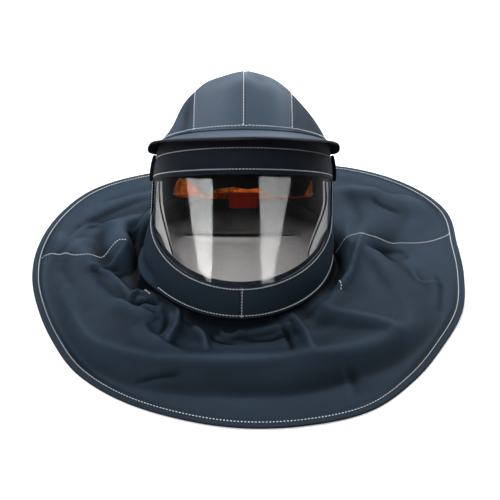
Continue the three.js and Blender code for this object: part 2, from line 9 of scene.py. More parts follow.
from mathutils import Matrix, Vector


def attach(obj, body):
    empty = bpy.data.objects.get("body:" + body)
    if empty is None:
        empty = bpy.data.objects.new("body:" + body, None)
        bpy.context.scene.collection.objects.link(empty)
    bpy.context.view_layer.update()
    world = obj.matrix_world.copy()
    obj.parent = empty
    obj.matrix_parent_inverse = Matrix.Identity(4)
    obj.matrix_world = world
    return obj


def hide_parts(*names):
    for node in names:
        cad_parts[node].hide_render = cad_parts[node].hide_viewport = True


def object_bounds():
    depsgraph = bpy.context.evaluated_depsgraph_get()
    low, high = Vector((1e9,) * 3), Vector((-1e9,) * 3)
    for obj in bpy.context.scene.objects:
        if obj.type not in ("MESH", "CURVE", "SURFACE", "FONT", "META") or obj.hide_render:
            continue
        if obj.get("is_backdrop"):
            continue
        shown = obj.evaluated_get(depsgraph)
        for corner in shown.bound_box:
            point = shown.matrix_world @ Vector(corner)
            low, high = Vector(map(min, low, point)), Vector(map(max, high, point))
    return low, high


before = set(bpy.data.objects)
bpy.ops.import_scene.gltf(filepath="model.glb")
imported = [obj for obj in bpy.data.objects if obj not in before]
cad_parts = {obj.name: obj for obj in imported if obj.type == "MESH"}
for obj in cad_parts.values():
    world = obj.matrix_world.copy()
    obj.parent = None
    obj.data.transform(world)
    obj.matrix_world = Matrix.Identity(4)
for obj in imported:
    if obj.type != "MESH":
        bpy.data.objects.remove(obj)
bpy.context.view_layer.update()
metre = 0.001

# Walls, gaps and places that several pieces share; side is the azimuth where the front bands end
cloth = {
    "wall": 2.2, "gap": 0.3, "side": 100, "eaveWall": 3, "windowWall": 1.4, "seamRow": 2.6,
    "edgeShares": (0.4, 0.82),  # of the wall, at a cloth's very edge and one step inside it
}

# The head's rings from the bottom up, as shares of the chin ring's sizes and of the height
head = {
    "height": 365, "halfWidth": 136, "frontDepth": 158, "backDepth": 146, "flare": 13,
    "x": -12.5, "y": -3.6, "lean": 0.029, "flareTurn": -75, "flareSpan": 26,
    # width, front, back, front height, side height, back height
    "rings": np.array([
        [1.0, 1.0, 1.0, 0.12, 0.12, 0.12],
        [0.952, 0.93, 1.0, 0.247, 0.315, 0.2],
        [0.93, 0.848, 0.96, 0.718, 0.466, 0.3],
        [0.871, 0.804, 0.925, 0.877, 0.619, 0.392],
    ]),
}


def lerp(a, b, t):
    return a + (b - a) * t


def smooth(t):
    t = np.clip(t, 0, 1)
    return t * t * (3 - 2 * t)


def bell(distance, width):
    return np.exp(-((distance / width) ** 2))


def halfTurn(azimuth):
    # The same direction between -180 and 180 degrees
    return (azimuth + 180) % 360 - 180


def unit(vectors):
    return vectors / np.maximum(np.linalg.norm(vectors, axis=-1, keepdims=True), 1e-9)


def sinCos(degrees):
    return np.sin(np.radians(degrees)), np.cos(np.radians(degrees))


def outward(azimuth):
    # Level direction away from the head's axis, 0 degrees in front and 90 towards +X
    turn = np.radians(azimuth)
    return np.stack([np.sin(turn), -np.cos(turn), np.zeros_like(turn)], -1)


def ringPoint(row, azimuth, flare=0.0):
    # Half ellipses in front and behind, radius 1 / hypot(sin / width, cos / depth); height linear in y
    width, front, back, frontHeight, sideHeight, backHeight = np.moveaxis(row, -1, 0)
    s, c = sinCos(azimuth)
    ahead = c >= 0
    depth = np.where(ahead, front * head["frontDepth"], back * head["backDepth"])
    radius = 1 / np.hypot(s / (width * head["halfWidth"]), c / depth) + flare
    endHeight = np.where(ahead, frontHeight, backHeight)
    z = head["height"] * lerp(sideHeight, endHeight, np.abs(radius * c / depth))
    return np.stack([head["x"] + head["lean"] * z + radius * s, head["y"] - radius * c, z], -1)


def headPoint(azimuth, level):
    # Straight lines between the rings, with a flare low on the left: a bell round one azimuth
    azimuth, level = np.broadcast_arrays(np.asarray(azimuth, float), np.asarray(level, float))
    low = np.clip(np.floor(level).astype(int), 0, len(head["rings"]) - 2)
    row = lerp(head["rings"][low], head["rings"][low + 1], (level - low)[..., None])
    flare = head["flare"] * bell(halfTurn(azimuth) - head["flareTurn"], head["flareSpan"])
    return ringPoint(row, azimuth, flare * np.clip(1 - level, 0, 1))


def normalsOn(surface, azimuth, level, step=0.01, turn=0.5):
    # Outward normal of surface(azimuth, level) by central differences
    along = surface(azimuth + turn, level) - surface(azimuth - turn, level)
    up = surface(azimuth, level + step) - surface(azimuth, level - step)
    return unit(np.cross(along, up))


def gridNormals(grid, closed=False):
    # Normals of a grid of points from the differences of its neighbours
    if closed:
        across = np.roll(grid, -1, 1) - np.roll(grid, 1, 1)
    else:
        across = np.gradient(grid, axis=1)
    return unit(np.cross(across, np.gradient(grid, axis=0)))


def edgeSpread(low, high, steps, edge):
    # Even steps with two close ones at each end, where the cloth's edge is rounded
    middle = np.linspace(low + edge, high - edge, steps)
    return np.concatenate([[low, low + 0.3 * edge], middle, [high - 0.3 * edge, high]])


def edgeWeight(count):
    # Share of the wall along a row of points, thin at both ends
    weight = np.ones(count)
    weight[[0, -1]], weight[[1, -2]] = cloth["edgeShares"]
    return weight


def edgeWeights(rows, columns):
    # The same over a grid: the lesser of its row's and its column's share
    return np.minimum(edgeWeight(rows)[:, None], edgeWeight(columns)[None, :])


print("materials")
finish = {
    # the fold tones are painted shade in hollows and painted highlight on crests
    "threadTones": (0.86, 1.08), "paintedShadeTones": (0.12, 1.88),  # darkest and lightest, as factors of the colour
    "roughSpread": (-0.06, 0.08), "cloudDetail": 5, "crumpleScale": 34, "crumpleDetail": 4,
    "crumpleDepth": 0.0012, "threadDepth": 0.00008,  # metres
    "sheetWave": 0.1, "sheetDepth": 0.0006, "sheetIndex": 1.12,
}


def newGroup(name, inputs, outputs):
    group = bpy.data.node_groups.new(name, "ShaderNodeTree")
    for title, kind, value in inputs:
        group.interface.new_socket(title, in_out="INPUT", socket_type=kind).default_value = value
    for title, kind in outputs:
        group.interface.new_socket(title, in_out="OUTPUT", socket_type=kind)
    return group, group.nodes.new("NodeGroupInput"), group.nodes.new("NodeGroupOutput")


def addNode(tree, kind, links=(), values=(), **settings):
    # A node with its settings; links are (input's name or number, socket) and values (input, value)
    node = tree.nodes.new(kind)
    for key, value in settings.items():
        setattr(node, key, value)
    for place, value in values:
        node.inputs[place].default_value = value
    for place, socket in links:
        tree.links.new(socket, node.inputs[place])
    return node


def addMath(tree, operation, first, second=None, values=()):
    links = [(0, first)] if second is None else [(0, first), (1, second)]
    return addNode(tree, "ShaderNodeMath", links, values, operation=operation).outputs[0]


def makeWeaveGroup():
    # Plain weave: the product of two sine waves across the cloth's own map, one per thread
    group, given, out = newGroup(
        "weave", [("Pitch", "NodeSocketFloat", 0.0009)],
        [("Height", "NodeSocketFloat"), ("Threads", "NodeSocketFloat")],
    )
    place = addNode(group, "ShaderNodeUVMap", uv_map="cloth")
    split = addNode(group, "ShaderNodeSeparateXYZ", [(0, place.outputs[0])])
    waves = []
    for axis in (0, 1):
        share = addMath(group, "DIVIDE", split.outputs[axis], given.outputs["Pitch"])
        waves.append(addMath(group, "SINE", addMath(group, "MULTIPLY", share, values=[(1, 2 * math.pi)])))
    both = addMath(group, "MULTIPLY", *waves)
    shifted = addMath(group, "MULTIPLY_ADD", both, values=[(1, 0.5), (2, 0.5)])
    group.links.new(both, out.inputs["Height"])
    group.links.new(shifted, out.inputs["Threads"])
    return group


def makeVaryGroup():
    # Soft clouds of tone and fine specks, both from noise on object coordinates, as one factor about 1
    group, given, out = newGroup(
        "vary",
        [
            ("Clouds", "NodeSocketFloat", 9.0), ("Specks", "NodeSocketFloat", 420.0),
            ("Amount", "NodeSocketFloat", 0.16),
        ],
        [("Factor", "NodeSocketFloat"), ("Crumple", "NodeSocketFloat")],
    )
    place = addNode(group, "ShaderNodeTexCoord").outputs["Object"]
    clouds = addNode(
        group, "ShaderNodeTexNoise", [("Vector", place), ("Scale", given.outputs["Clouds"])],
        [("Detail", finish["cloudDetail"])],
    )
    specks = addNode(group, "ShaderNodeTexNoise", [("Vector", place), ("Scale", given.outputs["Specks"])])
    crumple = addNode(
        group, "ShaderNodeTexNoise", [("Vector", place)],
        [("Scale", finish["crumpleScale"]), ("Detail", finish["crumpleDetail"])],
    )
    total = addMath(group, "ADD", clouds.outputs[0], specks.outputs[0])
    centred = addMath(group, "SUBTRACT", total, values=[(1, 1.0)])
    scaled = addMath(group, "MULTIPLY_ADD", centred, given.outputs["Amount"], [(2, 1.0)])
    group.links.new(scaled, out.inputs["Factor"])
    group.links.new(crumple.outputs[0], out.inputs["Crumple"])
    return group


def makePaintedShadeGroup():
    # Painted shade down in the cloth's folds and painted highlight along their crests: linear in the fold
    # value of -1 to 1
    group, _, out = newGroup("paintedFoldShade", [], [("Tone", "NodeSocketFloat")])
    fold = addNode(group, "ShaderNodeAttribute", attribute_name="fold")
    hollow, crest = finish["paintedShadeTones"]
    tone = addNode(
        group, "ShaderNodeMapRange", [("Value", fold.outputs["Fac"])],
        [("From Min", -1), ("From Max", 1), ("To Min", hollow), ("To Max", crest)],
    )
    group.links.new(tone.outputs[0], out.inputs["Tone"])
    return group


weaveGroup, varyGroup, paintedShadeGroup = makeWeaveGroup(), makeVaryGroup(), makePaintedShadeGroup()


def newMaterial(name, colour, roughness, sheen=0.0, specular=0.5):
    material = bpy.data.materials.new(name)
    material.use_nodes = True
    shader = material.node_tree.nodes["Principled BSDF"]
    shader.inputs["Base Color"].default_value = (*colour, 1)
    shader.inputs["Roughness"].default_value = roughness
    shader.inputs["Specular IOR Level"].default_value = specular
    shader.inputs["Sheen Weight"].default_value = sheen
    shader.inputs["Sheen Roughness"].default_value = 0.4
    return material, material.node_tree, shader


def clothMaterial(
    name, colour, roughness, pitch, relief, sheen=0.03, amount=0.16, crumple=0.5, specular=0.12, clouds=9.0
):
    # Woven cloth: varied tone, painted shade and highlight from the fold value, the weave as bump and a
    # slight crumple under it
    material, tree, shader = newMaterial(name, colour, roughness, sheen, specular)
    weave = addNode(tree, "ShaderNodeGroup", node_tree=weaveGroup)
    weave.inputs["Pitch"].default_value = pitch
    vary = addNode(tree, "ShaderNodeGroup", node_tree=varyGroup)
    vary.inputs["Amount"].default_value = amount
    vary.inputs["Clouds"].default_value = clouds
    # painted shade and highlight from the fold value
    paintedShade = addNode(tree, "ShaderNodeGroup", node_tree=paintedShadeGroup)
    darkThread, lightThread = finish["threadTones"]
    threads = addNode(
        tree, "ShaderNodeMapRange", [("Value", weave.outputs["Threads"])],
        [("To Min", darkThread), ("To Max", lightThread)],
    )
    woven = addMath(tree, "MULTIPLY", vary.outputs["Factor"], threads.outputs[0])
    tone = addMath(tree, "MULTIPLY", woven, paintedShade.outputs["Tone"])
    tinted = addNode(tree, "ShaderNodeVectorMath", [("Scale", tone)], [(0, colour)], operation="SCALE")
    tree.links.new(tinted.outputs[0], shader.inputs["Base Color"])
    smoother, rougher = finish["roughSpread"]
    rough = addNode(
        tree, "ShaderNodeMapRange", [("Value", vary.outputs["Crumple"])],
        [("To Min", roughness + smoother), ("To Max", roughness + rougher)],
    )
    tree.links.new(rough.outputs[0], shader.inputs["Roughness"])
    soft = addNode(
        tree, "ShaderNodeBump", [("Height", vary.outputs["Crumple"])],
        [("Strength", crumple), ("Distance", finish["crumpleDepth"])],
    )
    fine = addNode(
        tree, "ShaderNodeBump", [("Height", weave.outputs["Height"]), ("Normal", soft.outputs[0])],
        [("Strength", relief), ("Distance", finish["threadDepth"])],
    )
    tree.links.new(fine.outputs[0], shader.inputs["Normal"])
    return material


# colour, roughness, pitch of the threads in metres, relief
hoodCloth = clothMaterial("hoodCloth", (0.0165, 0.0262, 0.0385), 0.6, 0.0011, 0.5, sheen=0, specular=0.03)
crownClothLook = clothMaterial("crownCloth", (0.052, 0.078, 0.110), 0.52, 0.0011, 0.5)
# a darker copy of the crown's cloth for the side panels: painted shade on the sides
crownShadedSideLook = clothMaterial(
    "crownShadedSideCloth", (0.037, 0.056, 0.081), 0.55, 0.0011, 0.5, sheen=0, specular=0.08
)
browCloth = clothMaterial("browCloth", (0.0115, 0.017, 0.026), 0.5, 0.0011, 0.5, sheen=0.05)
liningCloth = clothMaterial("liningCloth", (0.30, 0.284, 0.284), 0.9, 0.0014, 0.8, sheen=0.15, amount=0.3)
flapCloth = clothMaterial("flapCloth", (0.34, 0.33, 0.33), 0.8, 0.0014, 0.6, sheen=0, amount=0.2)
# a near-black copy of the grey lining: painted shade inside the back of the hood
backLiningShadedCloth = clothMaterial(
    "backLiningShadedCloth", (0.028, 0.026, 0.025), 0.9, 0.0014, 0.8, sheen=0, amount=0.3
)
# strongly uneven tone, dark in patches: painted shade on the band inside the hood
sweatbandCloth = clothMaterial(
    "sweatbandCloth", (0.30, 0.058, 0.006), 0.8, 0.0018, 1.0, sheen=0, amount=3.4, specular=0.05, clouds=34.0
)
# near black, for the sheet that stands for the shadow over the band's front
shadeSheetCloth = clothMaterial("shadeSheetCloth", (0.003, 0.003, 0.0035), 0.8, 0.0014, 0.5, sheen=0, specular=0.02)
padCloth = clothMaterial("padCloth", (0.19, 0.010, 0.006), 0.85, 0.0016, 1.0, sheen=0.2, amount=0.3)
trimCloth = clothMaterial("trimCloth", (0.0065, 0.0075, 0.0105), 0.5, 0.0009, 0.6, sheen=0, specular=0.1)
threadLook = clothMaterial("whiteThread", (0.85, 0.86, 0.87), 0.7, 0.0004, 0.2, sheen=0.1, amount=0.2)
clearLook, clearTree, clearShader = newMaterial("clearSheet", (0.97, 0.98, 0.98), 0.006)
clearShader.inputs["Transmission Weight"].default_value = 1.0
clearShader.inputs["IOR"].default_value = finish["sheetIndex"]
clearVary = addNode(clearTree, "ShaderNodeGroup", node_tree=varyGroup)
clearBump = addNode(
    clearTree, "ShaderNodeBump", [("Height", clearVary.outputs["Crumple"])],
    [("Strength", finish["sheetWave"]), ("Distance", finish["sheetDepth"])],
)
clearTree.links.new(clearBump.outputs[0], clearShader.inputs["Normal"])


def addObject(name, data):
    made = bpy.data.objects.new(name, data)
    bpy.context.scene.collection.objects.link(made)
    return made


def meshPiece(name, points, faces, material, nodes=(), uv=None, sharp=42):
    # Points, faces and the cloth's own map, in millimetres, as a mesh in metres that stands for CAD nodes
    mesh = bpy.data.meshes.new(name)
    mesh.from_pydata(points * metre, [], [face.tolist() for group in faces for face in group])
    mesh.validate()
    corners = np.empty(len(mesh.loops), np.int32)
    mesh.loops.foreach_get("vertex_index", corners)
    layer = mesh.uv_layers.new(name="cloth")
    flat = points[:, :2] if uv is None else uv
    layer.data.foreach_set("uv", (flat[corners] * metre).astype(np.float32).ravel())
    mesh.polygons.foreach_set("use_smooth", np.ones(len(mesh.polygons), bool))
    mesh.set_sharp_from_angle(angle=math.radians(sharp))
    mesh.materials.append(material)
    piece = addObject(name, mesh)
    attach(piece, "root")
    if nodes:
        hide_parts(*nodes)
    return piece


def quads(a, b, c, d):
    return np.stack([a, b, c, d], -1).reshape(-1, 4)


def gridFaces(rows, columns, closed=False):
    # The faces of one grid, turned so that they look out when columns run with the azimuth and rows up
    index = np.arange(rows * columns).reshape(rows, columns)
    here = index if closed else index[:, :-1]
    there = np.roll(index, -1, 1) if closed else index[:, 1:]
    return quads(here[:-1], there[:-1], there[1:], here[1:]), index, here, there


def lengthMap(grid):
    # Cloth map: length along the middle row and along the middle column
    rows, columns = grid.shape[:2]
    across = np.linalg.norm(np.diff(grid[rows // 2], axis=0), axis=1)
    up = np.linalg.norm(np.diff(grid[:, columns // 2], axis=0), axis=1)
    u, v = np.append(0, np.cumsum(across)), np.append(0, np.cumsum(up))
    return np.stack(np.broadcast_arrays(u[None, :], v[:, None]), -1)


def shellPiece(name, outer, inner, material, slot, nodes=(), closed=False, uv=None, sharp=42):
    # Closed cloth: an outer and an inner grid of points, joined along their edges
    rows, columns = outer.shape[:2]
    count = rows * columns
    out, index, here, there = gridFaces(rows, columns, closed)
    faces = [out, out[:, ::-1] + count]
    faces.append(quads(here[0] + count, there[0] + count, there[0], here[0]))
    faces.append(quads(here[-1], there[-1], there[-1] + count, here[-1] + count))
    if not closed:
        first, last = index[:, 0], index[:, -1]
        faces.append(quads(first[:-1] + count, first[:-1], first[1:], first[1:] + count))
        faces.append(quads(last[:-1], last[:-1] + count, last[1:] + count, last[1:]))
    flat = (lengthMap(outer) if uv is None else uv).reshape(-1, 2)
    points = np.concatenate([outer.reshape(-1, 3), inner.reshape(-1, 3)])
    return meshPiece(name, points, faces, material, nodes, np.concatenate([flat, flat]), sharp)


def tubePiece(name, tube, material):
    # A closed tube from a grid of rings, its two ends filled with fans
    around, long = tube.shape[:2]
    index = np.arange(around * long).reshape(around, long)
    nextRow = np.roll(index, -1, 0)
    count = around * long
    faces = [
        quads(index[:, :-1], nextRow[:, :-1], nextRow[:, 1:], index[:, 1:]),
        np.stack([nextRow[:, 0], index[:, 0], np.full(around, count)], -1),
        np.stack([index[:, -1], nextRow[:, -1], np.full(around, count + 1)], -1),
    ]
    points = np.concatenate([tube.reshape(-1, 3), tube[:, 0].mean(0)[None], tube[:, -1].mean(0)[None]])
    return meshPiece(name, points, faces, material, sharp=80)


def wall(surface, azimuths, levels, inside, outside, extra=None):
    # Outer and inner grids of cloth on a surface, its edges rounded by thinning; extra is a relief on both
    azimuth, level = np.meshgrid(azimuths, levels)
    points = surface(azimuth, level)
    normals = normalsOn(surface, azimuth, level)
    weight = edgeWeights(*level.shape)
    middle, half = (inside + outside) / 2, (outside - inside) / 2
    relief = 0 if extra is None else extra(azimuth, level)
    outer = points + normals * (middle + half * weight + relief)[..., None]
    inner = points + normals * (middle - half * weight + relief)[..., None]
    return outer, inner


stitchRows = []


def stitch(path, normals, group, lift=0.35):
    # Keeps a row of stitches for later: a path on the cloth, its normals and the row's group
    stitchRows.append((group, path + normals * lift, normals))


def stitchOn(surface, azimuths, levels, offset, group, extra=None):
    # A row on a surface at an offset along its normals, with the same relief as its cloth
    azimuth, level = np.broadcast_arrays(np.asarray(azimuths, float), np.asarray(levels, float))
    normals = normalsOn(surface, azimuth, level)
    relief = np.broadcast_to(offset + (0 if extra is None else extra(azimuth, level)), level.shape)
    stitch(surface(azimuth, level) + normals * relief[..., None], normals, group)


print("crown")
crown = {
    "rise": 90, "topShare": 0.37, "middleLevel": 0.93, "seams": (-70, 0, 63), "mapStretch": 1.25,
    "sag": 1.2, "sagReach": 140, "freeShare": 0.12, "rowShare": 0.012,
    "groove": 0.35, "grooveWidth": 1.6, "ridge": 0.5, "ridgeAway": 4, "ridgeWidth": 2.5,
    # painted tone, shade in dents and highlight on bumps: dent that darkens in full, painted shade of the
    # right from a distance on, darkest and lightest
    "toneDent": 11, "rightShade": 0.22, "rightFrom": 48, "rightSpan": 20, "toneLimits": (-0.5, 0.2),
    # share of the way to the top, share of the rise
    "front": [
        [0, 0], [0.09, 0.38], [0.18, 0.68], [0.29, 0.85], [0.41, 0.93], [0.54, 0.965], [0.8, 0.985],
        [1, 0.975],
    ],
    "left": [
        [0, 0], [0.13, 0.21], [0.24, 0.51], [0.38, 0.7], [0.44, 0.79], [0.5, 0.85], [0.71, 0.93], [1, 0.975],
    ],
    "right": [
        [0, 0], [0.1, 0.21], [0.15, 0.29], [0.26, 0.39], [0.41, 0.62], [0.53, 0.79], [0.68, 0.87], [1, 0.975],
    ],
    "back": [[0, 0], [0.1, 0.22], [0.25, 0.48], [0.42, 0.7], [0.6, 0.85], [0.8, 0.94], [1, 0.975]],
    # x from the middle seam, way back from the front edge, depth, width across, width back
    "dents": [
        [22, 42, -3.4, 10, 18], [42, 30, 2.0, 10, 22], [-80, 58, -6.5, 7, 26], [-98, 78, 3.4, 9, 24],
        [-30, 20, 1.6, 16, 18], [12, 10, 1.5, 10, 12],
        [-36, 60, -1.4, 18, 34], [92, 60, -2.6, 10, 22], [18, 168, -3.0, 22, 26], [-44, 150, -2.6, 20, 24],
        [78, 150, -3.0, 14, 28], [-88, 150, -3.0, 14, 26],
    ],
}
seamFront, seamBack = headPoint(0, 3), headPoint(180, 3)
crownUp = unit(np.array([0, seamFront[2] - seamBack[2], seamBack[1] - seamFront[1]]))
crownBack = np.array([0, crownUp[2], -crownUp[1]])
crownLift = cloth["eaveWall"] + 2 * cloth["gap"]
crownTop = lerp(seamFront, seamBack, crown["topShare"])
crownTop = crownTop - crownUp * ((crownTop - seamBack) @ crownUp)
crownX = head["x"] + head["lean"] * head["height"] * crown["middleLevel"]

ringTurns = np.linspace(-230, 230, 921)
crownRing = headPoint(ringTurns, 3) + crownUp * crownLift
ringRise = (crownRing - seamBack) @ crownUp
ringFlat = crownRing - crownUp * ringRise[:, None] - crownTop
ringX, ringBack = ringFlat[:, 0], ringFlat @ crownBack
ringAngle = np.degrees(np.unwrap(np.arctan2(ringX, -ringBack)))
ringAngle -= 360 * np.round(ringAngle[len(ringAngle) // 2] / 360)
ringRadius = np.hypot(ringX, ringBack)
crownFront, crownRear = np.interp([0, 180], ringAngle, ringRadius)


def roundedTable(table, x):
    # Hermite curve through a table's points, its slopes the mean of the neighbours' slopes
    knots, values = np.array(table, float).T
    slopes = np.gradient(values, knots)
    k = np.clip(np.searchsorted(knots, x) - 1, 0, len(knots) - 2)
    span = knots[k + 1] - knots[k]
    t = np.clip((x - knots[k]) / span, 0, 1)
    rise = values[k] * (1 + 2 * t) * (1 - t) ** 2 + values[k + 1] * t * t * (3 - 2 * t)
    return rise + span * t * (1 - t) * (slopes[k] * (1 - t) - slopes[k + 1] * t)


def crownDents(fromSeam, fromFront):
    return sum(
        depth * bell(fromSeam - dentX, wide) * bell(fromFront - dentBack, long)
        for dentX, dentBack, depth, wide, long in crown["dents"]
    )


def crownPoint(across, back):
    # Height over the seam plane by the share of the way in from the ring; sides and ends mix by sin squared
    angle = np.degrees(np.arctan2(across, -back))
    share = 1 - np.hypot(across, back) / np.interp(angle, ringAngle, ringRadius)
    turn = np.interp(angle, ringAngle, ringTurns)
    share = np.clip(share, 0, 1)
    side = np.where(across < 0, roundedTable(crown["left"], share), roundedTable(crown["right"], share))
    end = np.where(back < 0, roundedTable(crown["front"], share), roundedTable(crown["back"], share))
    rise = lerp(end, side, np.sin(np.radians(turn)) ** 2)
    height = lerp(np.interp(angle, ringAngle, ringRise), crown["rise"], rise)
    x = across + crownTop[0] + head["lean"] * crown["rise"] * rise * crownUp[2]
    fromSeam = x - crownX
    free = smooth(share / crown["freeShare"])
    for seam in crown["seams"]:
        apart = np.abs(fromSeam - seam)
        height = height - crown["groove"] * bell(apart, crown["grooveWidth"])
        height = height + crown["ridge"] * bell(apart - crown["ridgeAway"], crown["ridgeWidth"])
    edges = [-crown["sagReach"], *crown["seams"], crown["sagReach"]]
    for low, high in zip(edges, edges[1:]):
        inPanel = (fromSeam > low) & (fromSeam < high)
        height = height - inPanel * free * crown["sag"] * np.sin(np.pi * (fromSeam - low) / (high - low)) ** 2
    height = height + free * crownDents(fromSeam, back + crownFront)
    flat = crownTop + back[..., None] * crownBack + height[..., None] * crownUp
    return np.stack([x, flat[..., 1], flat[..., 2]], -1)


def crownNormals(across, back, step=0.5):
    sideways = crownPoint(across + step, back) - crownPoint(across - step, back)
    along = crownPoint(across, back + step) - crownPoint(across, back - step)
    return unit(np.cross(sideways, along))


def ringPlace(turn, share):
    # Across and back on the seam's plane, at a share of the way from the ring to the top
    return np.interp(turn, ringTurns, ringX) * (1 - share), np.interp(turn, ringTurns, ringBack) * (1 - share)


def makeCrown():
    # One closed shell over the whole ring, then cut at the seams into four panels
    turns = np.linspace(-180, 180, 289)[:-1]
    shares = np.concatenate([[0, 0.004], np.linspace(0.012, 0.96, 62), [0.985]])
    outer = crownPoint(*ringPlace(*np.meshgrid(turns, shares)))
    normals = gridNormals(outer, True)
    # the foot's normals lie in the seam's plane
    normals[:2] = unit(normals[:2] - (normals[:2] @ crownUp)[..., None] * crownUp)
    inner = outer - normals * cloth["wall"]
    top = crownPoint(np.zeros(1), np.zeros(1))
    rows, columns = outer.shape[:2]
    count = rows * columns
    out, _, here, there = gridFaces(rows, columns, True)
    tip, under = 2 * count, 2 * count + 1
    fan = np.stack([here[-1], there[-1], np.full(columns, tip)], -1)
    underFan = np.stack([there[-1] + count, here[-1] + count, np.full(columns, under)], -1)
    rim = quads(here[0] + count, there[0] + count, there[0], here[0])
    points = np.concatenate([outer.reshape(-1, 3), inner.reshape(-1, 3), top, top - crownUp * cloth["wall"]])
    fromSeam, fromTop = points[:, 0] - crownX, (points - crownTop) @ crownBack
    uv = np.stack([points[:, 0], fromTop * crown["mapStretch"]], -1)
    # painted shade in the dents and over the right of the crown, painted highlight on its bumps
    shade = crown["rightShade"] * smooth((fromSeam - crown["rightFrom"]) / crown["rightSpan"])
    dents = crownDents(fromSeam, fromTop + crownFront)
    tone = np.clip(dents / crown["toneDent"] - shade, *crown["toneLimits"])
    panels = [
        ("crownSideLeft", "crown_side_left", crownShadedSideLook),
        ("crownTopLeft", "crown_top_left", crownClothLook),
        ("crownTopRight", "crown_top_right", crownClothLook),
        ("crownSideRight", "crown_side_right", crownShadedSideLook),
    ]
    made = []
    for (name, node, look), low, high in zip(panels, [None, *crown["seams"]], [*crown["seams"], None]):
        piece = meshPiece(
            name, points, [out, out[:, ::-1] + count, fan, underFan, rim], look, [node], uv
        )
        layer = piece.data.attributes.new("fold", "FLOAT", "POINT")
        layer.data.foreach_set("value", tone.astype(np.float32))
        for seam, side in ((low, 1), (high, -1)):
            if seam is not None:
                place = seam + side * cloth["gap"] / 2
                cutPiece(piece, (crownX + place) * metre, side)
        piece.data.set_sharp_from_angle(angle=math.radians(42))
        made.append(piece)
    return made


def cutPiece(piece, x, side):
    # Keeps what lies on one side of a plane across x and closes the cut
    bm = bmesh.new()
    bm.from_mesh(piece.data)
    cut = bmesh.ops.bisect_plane(
        bm, geom=bm.verts[:] + bm.edges[:] + bm.faces[:], dist=1e-7, plane_co=(x, 0, 0),
        plane_no=(-side, 0, 0), clear_outer=True,
    )
    edges = [e for e in cut["geom_cut"] if isinstance(e, bmesh.types.BMEdge)]
    bmesh.ops.holes_fill(bm, edges=edges, sides=0)
    bm.to_mesh(piece.data)
    bm.free()


crownPanels = makeCrown()


def crownLine(fromSeam, count=260):
    # A row of points on the crown at one distance from the middle seam, from its front edge to its back edge
    places = lerp(-crownFront, crownRear, np.linspace(0, 1, count))
    across = np.full(count, fromSeam + crownX - crownTop[0])
    for _ in range(3):
        across = across - (crownPoint(across, places)[:, 0] - crownX - fromSeam)
    angle = np.degrees(np.arctan2(across, -places))
    inside = np.hypot(across, places) < np.interp(angle, ringAngle, ringRadius) * 0.995
    across, places = across[inside], places[inside]
    return crownPoint(across, places), crownNormals(across, places)


for seam, side in zip(crown["seams"], (1, -1, -1)):
    stitch(*crownLine(seam + side * cloth["seamRow"]), "crown")
rimPlace = ringPlace(np.linspace(-178, 178, 900), crown["rowShare"])
stitch(crownPoint(*rimPlace), crownNormals(*rimPlace, 0.4), "crown")

print("eave")
eave = {
    "halfAngle": 112, "droop": 14, "droopFrom": 58, "tuck": 10, "tuckFrom": 100, "wave": 0.9, "waves": 5,
    # along the way out, as shares: the sewn groove, the bead, the black lip and the thinned edge
    "groove": 0.5, "grooveAt": 0.86, "grooveWidth": 0.035, "bead": 0.7, "beadAt": 0.95, "beadWidth": 0.05,
    "lipFrom": 0.87, "thinFrom": 0.97, "thinShare": 0.45,
    # its edge ring, with the columns of the head's rings
    "edge": np.array([0.995, 0.955, 1.02, 0.877, 0.623, 0.4]),
}


def eavePoint(azimuth, share):
    # Straight from the crown seam to its own edge ring, waved by a sine; both ends droop and tuck in
    inwards = -outward(azimuth)
    slid = inwards - (inwards @ crownUp)[..., None] * crownUp
    foot = headPoint(azimuth, 3) + unit(slid) * cloth["wall"]
    edge = ringPoint(np.broadcast_to(eave["edge"], (*azimuth.shape, 6)), azimuth)
    drooping, tucking = (
        smooth((np.abs(azimuth) - start) / (eave["halfAngle"] - start))
        for start in (eave["droopFrom"], eave["tuckFrom"])
    )
    drop = eave["droop"] * drooping * share ** 2
    tuck = eave["tuck"] * tucking * share
    turn = np.radians(azimuth * eave["waves"] + 40)
    wave = eave["wave"] * share * np.sin(turn) * smooth((share - 0.2) / 0.8)
    point = lerp(foot, edge, share[..., None]) + crownUp * cloth["gap"] + inwards * tuck[..., None]
    return point + np.array([0, 0, 1]) * (np.maximum(wave, 0) - drop)[..., None]


azimuth, share = np.meshgrid(
    edgeSpread(-eave["halfAngle"], eave["halfAngle"], 220, 0.8),
    np.concatenate([[0, 0.02], np.linspace(0.08, 0.84, 12), [0.88, 0.92, 0.95, 0.98, 1]]),
)
under = eavePoint(azimuth, share)
bead = eave["bead"] * bell(share - eave["beadAt"], eave["beadWidth"])
thick = cloth["eaveWall"] + bead - eave["groove"] * bell(share - eave["grooveAt"], eave["grooveWidth"])
roundEdge = np.where(share > eave["thinFrom"], eave["thinShare"], 1.0)
over = under + crownUp * (thick * lerp(0.6, 1, roundEdge))[..., None]
under = under + crownUp * (0.25 * thick * (1 - roundEdge))[..., None]
eavePiece = shellPiece("eaveBrim", under, over, crownClothLook, "crown_cloth", ["eave"], sharp=60)
eavePiece.data.materials.append(trimCloth)
# black are the underside, the edges and the lip; the faces come as underside, top and edges
rowFaces = share.shape[1] - 1
bodyFaces = (share.shape[0] - 1) * rowFaces
black = np.ones(len(eavePiece.data.polygons), np.int32)
black[bodyFaces:2 * bodyFaces] = share[np.arange(bodyFaces) // rowFaces, 0] > eave["lipFrom"]
eavePiece.data.polygons.foreach_set("material_index", black)

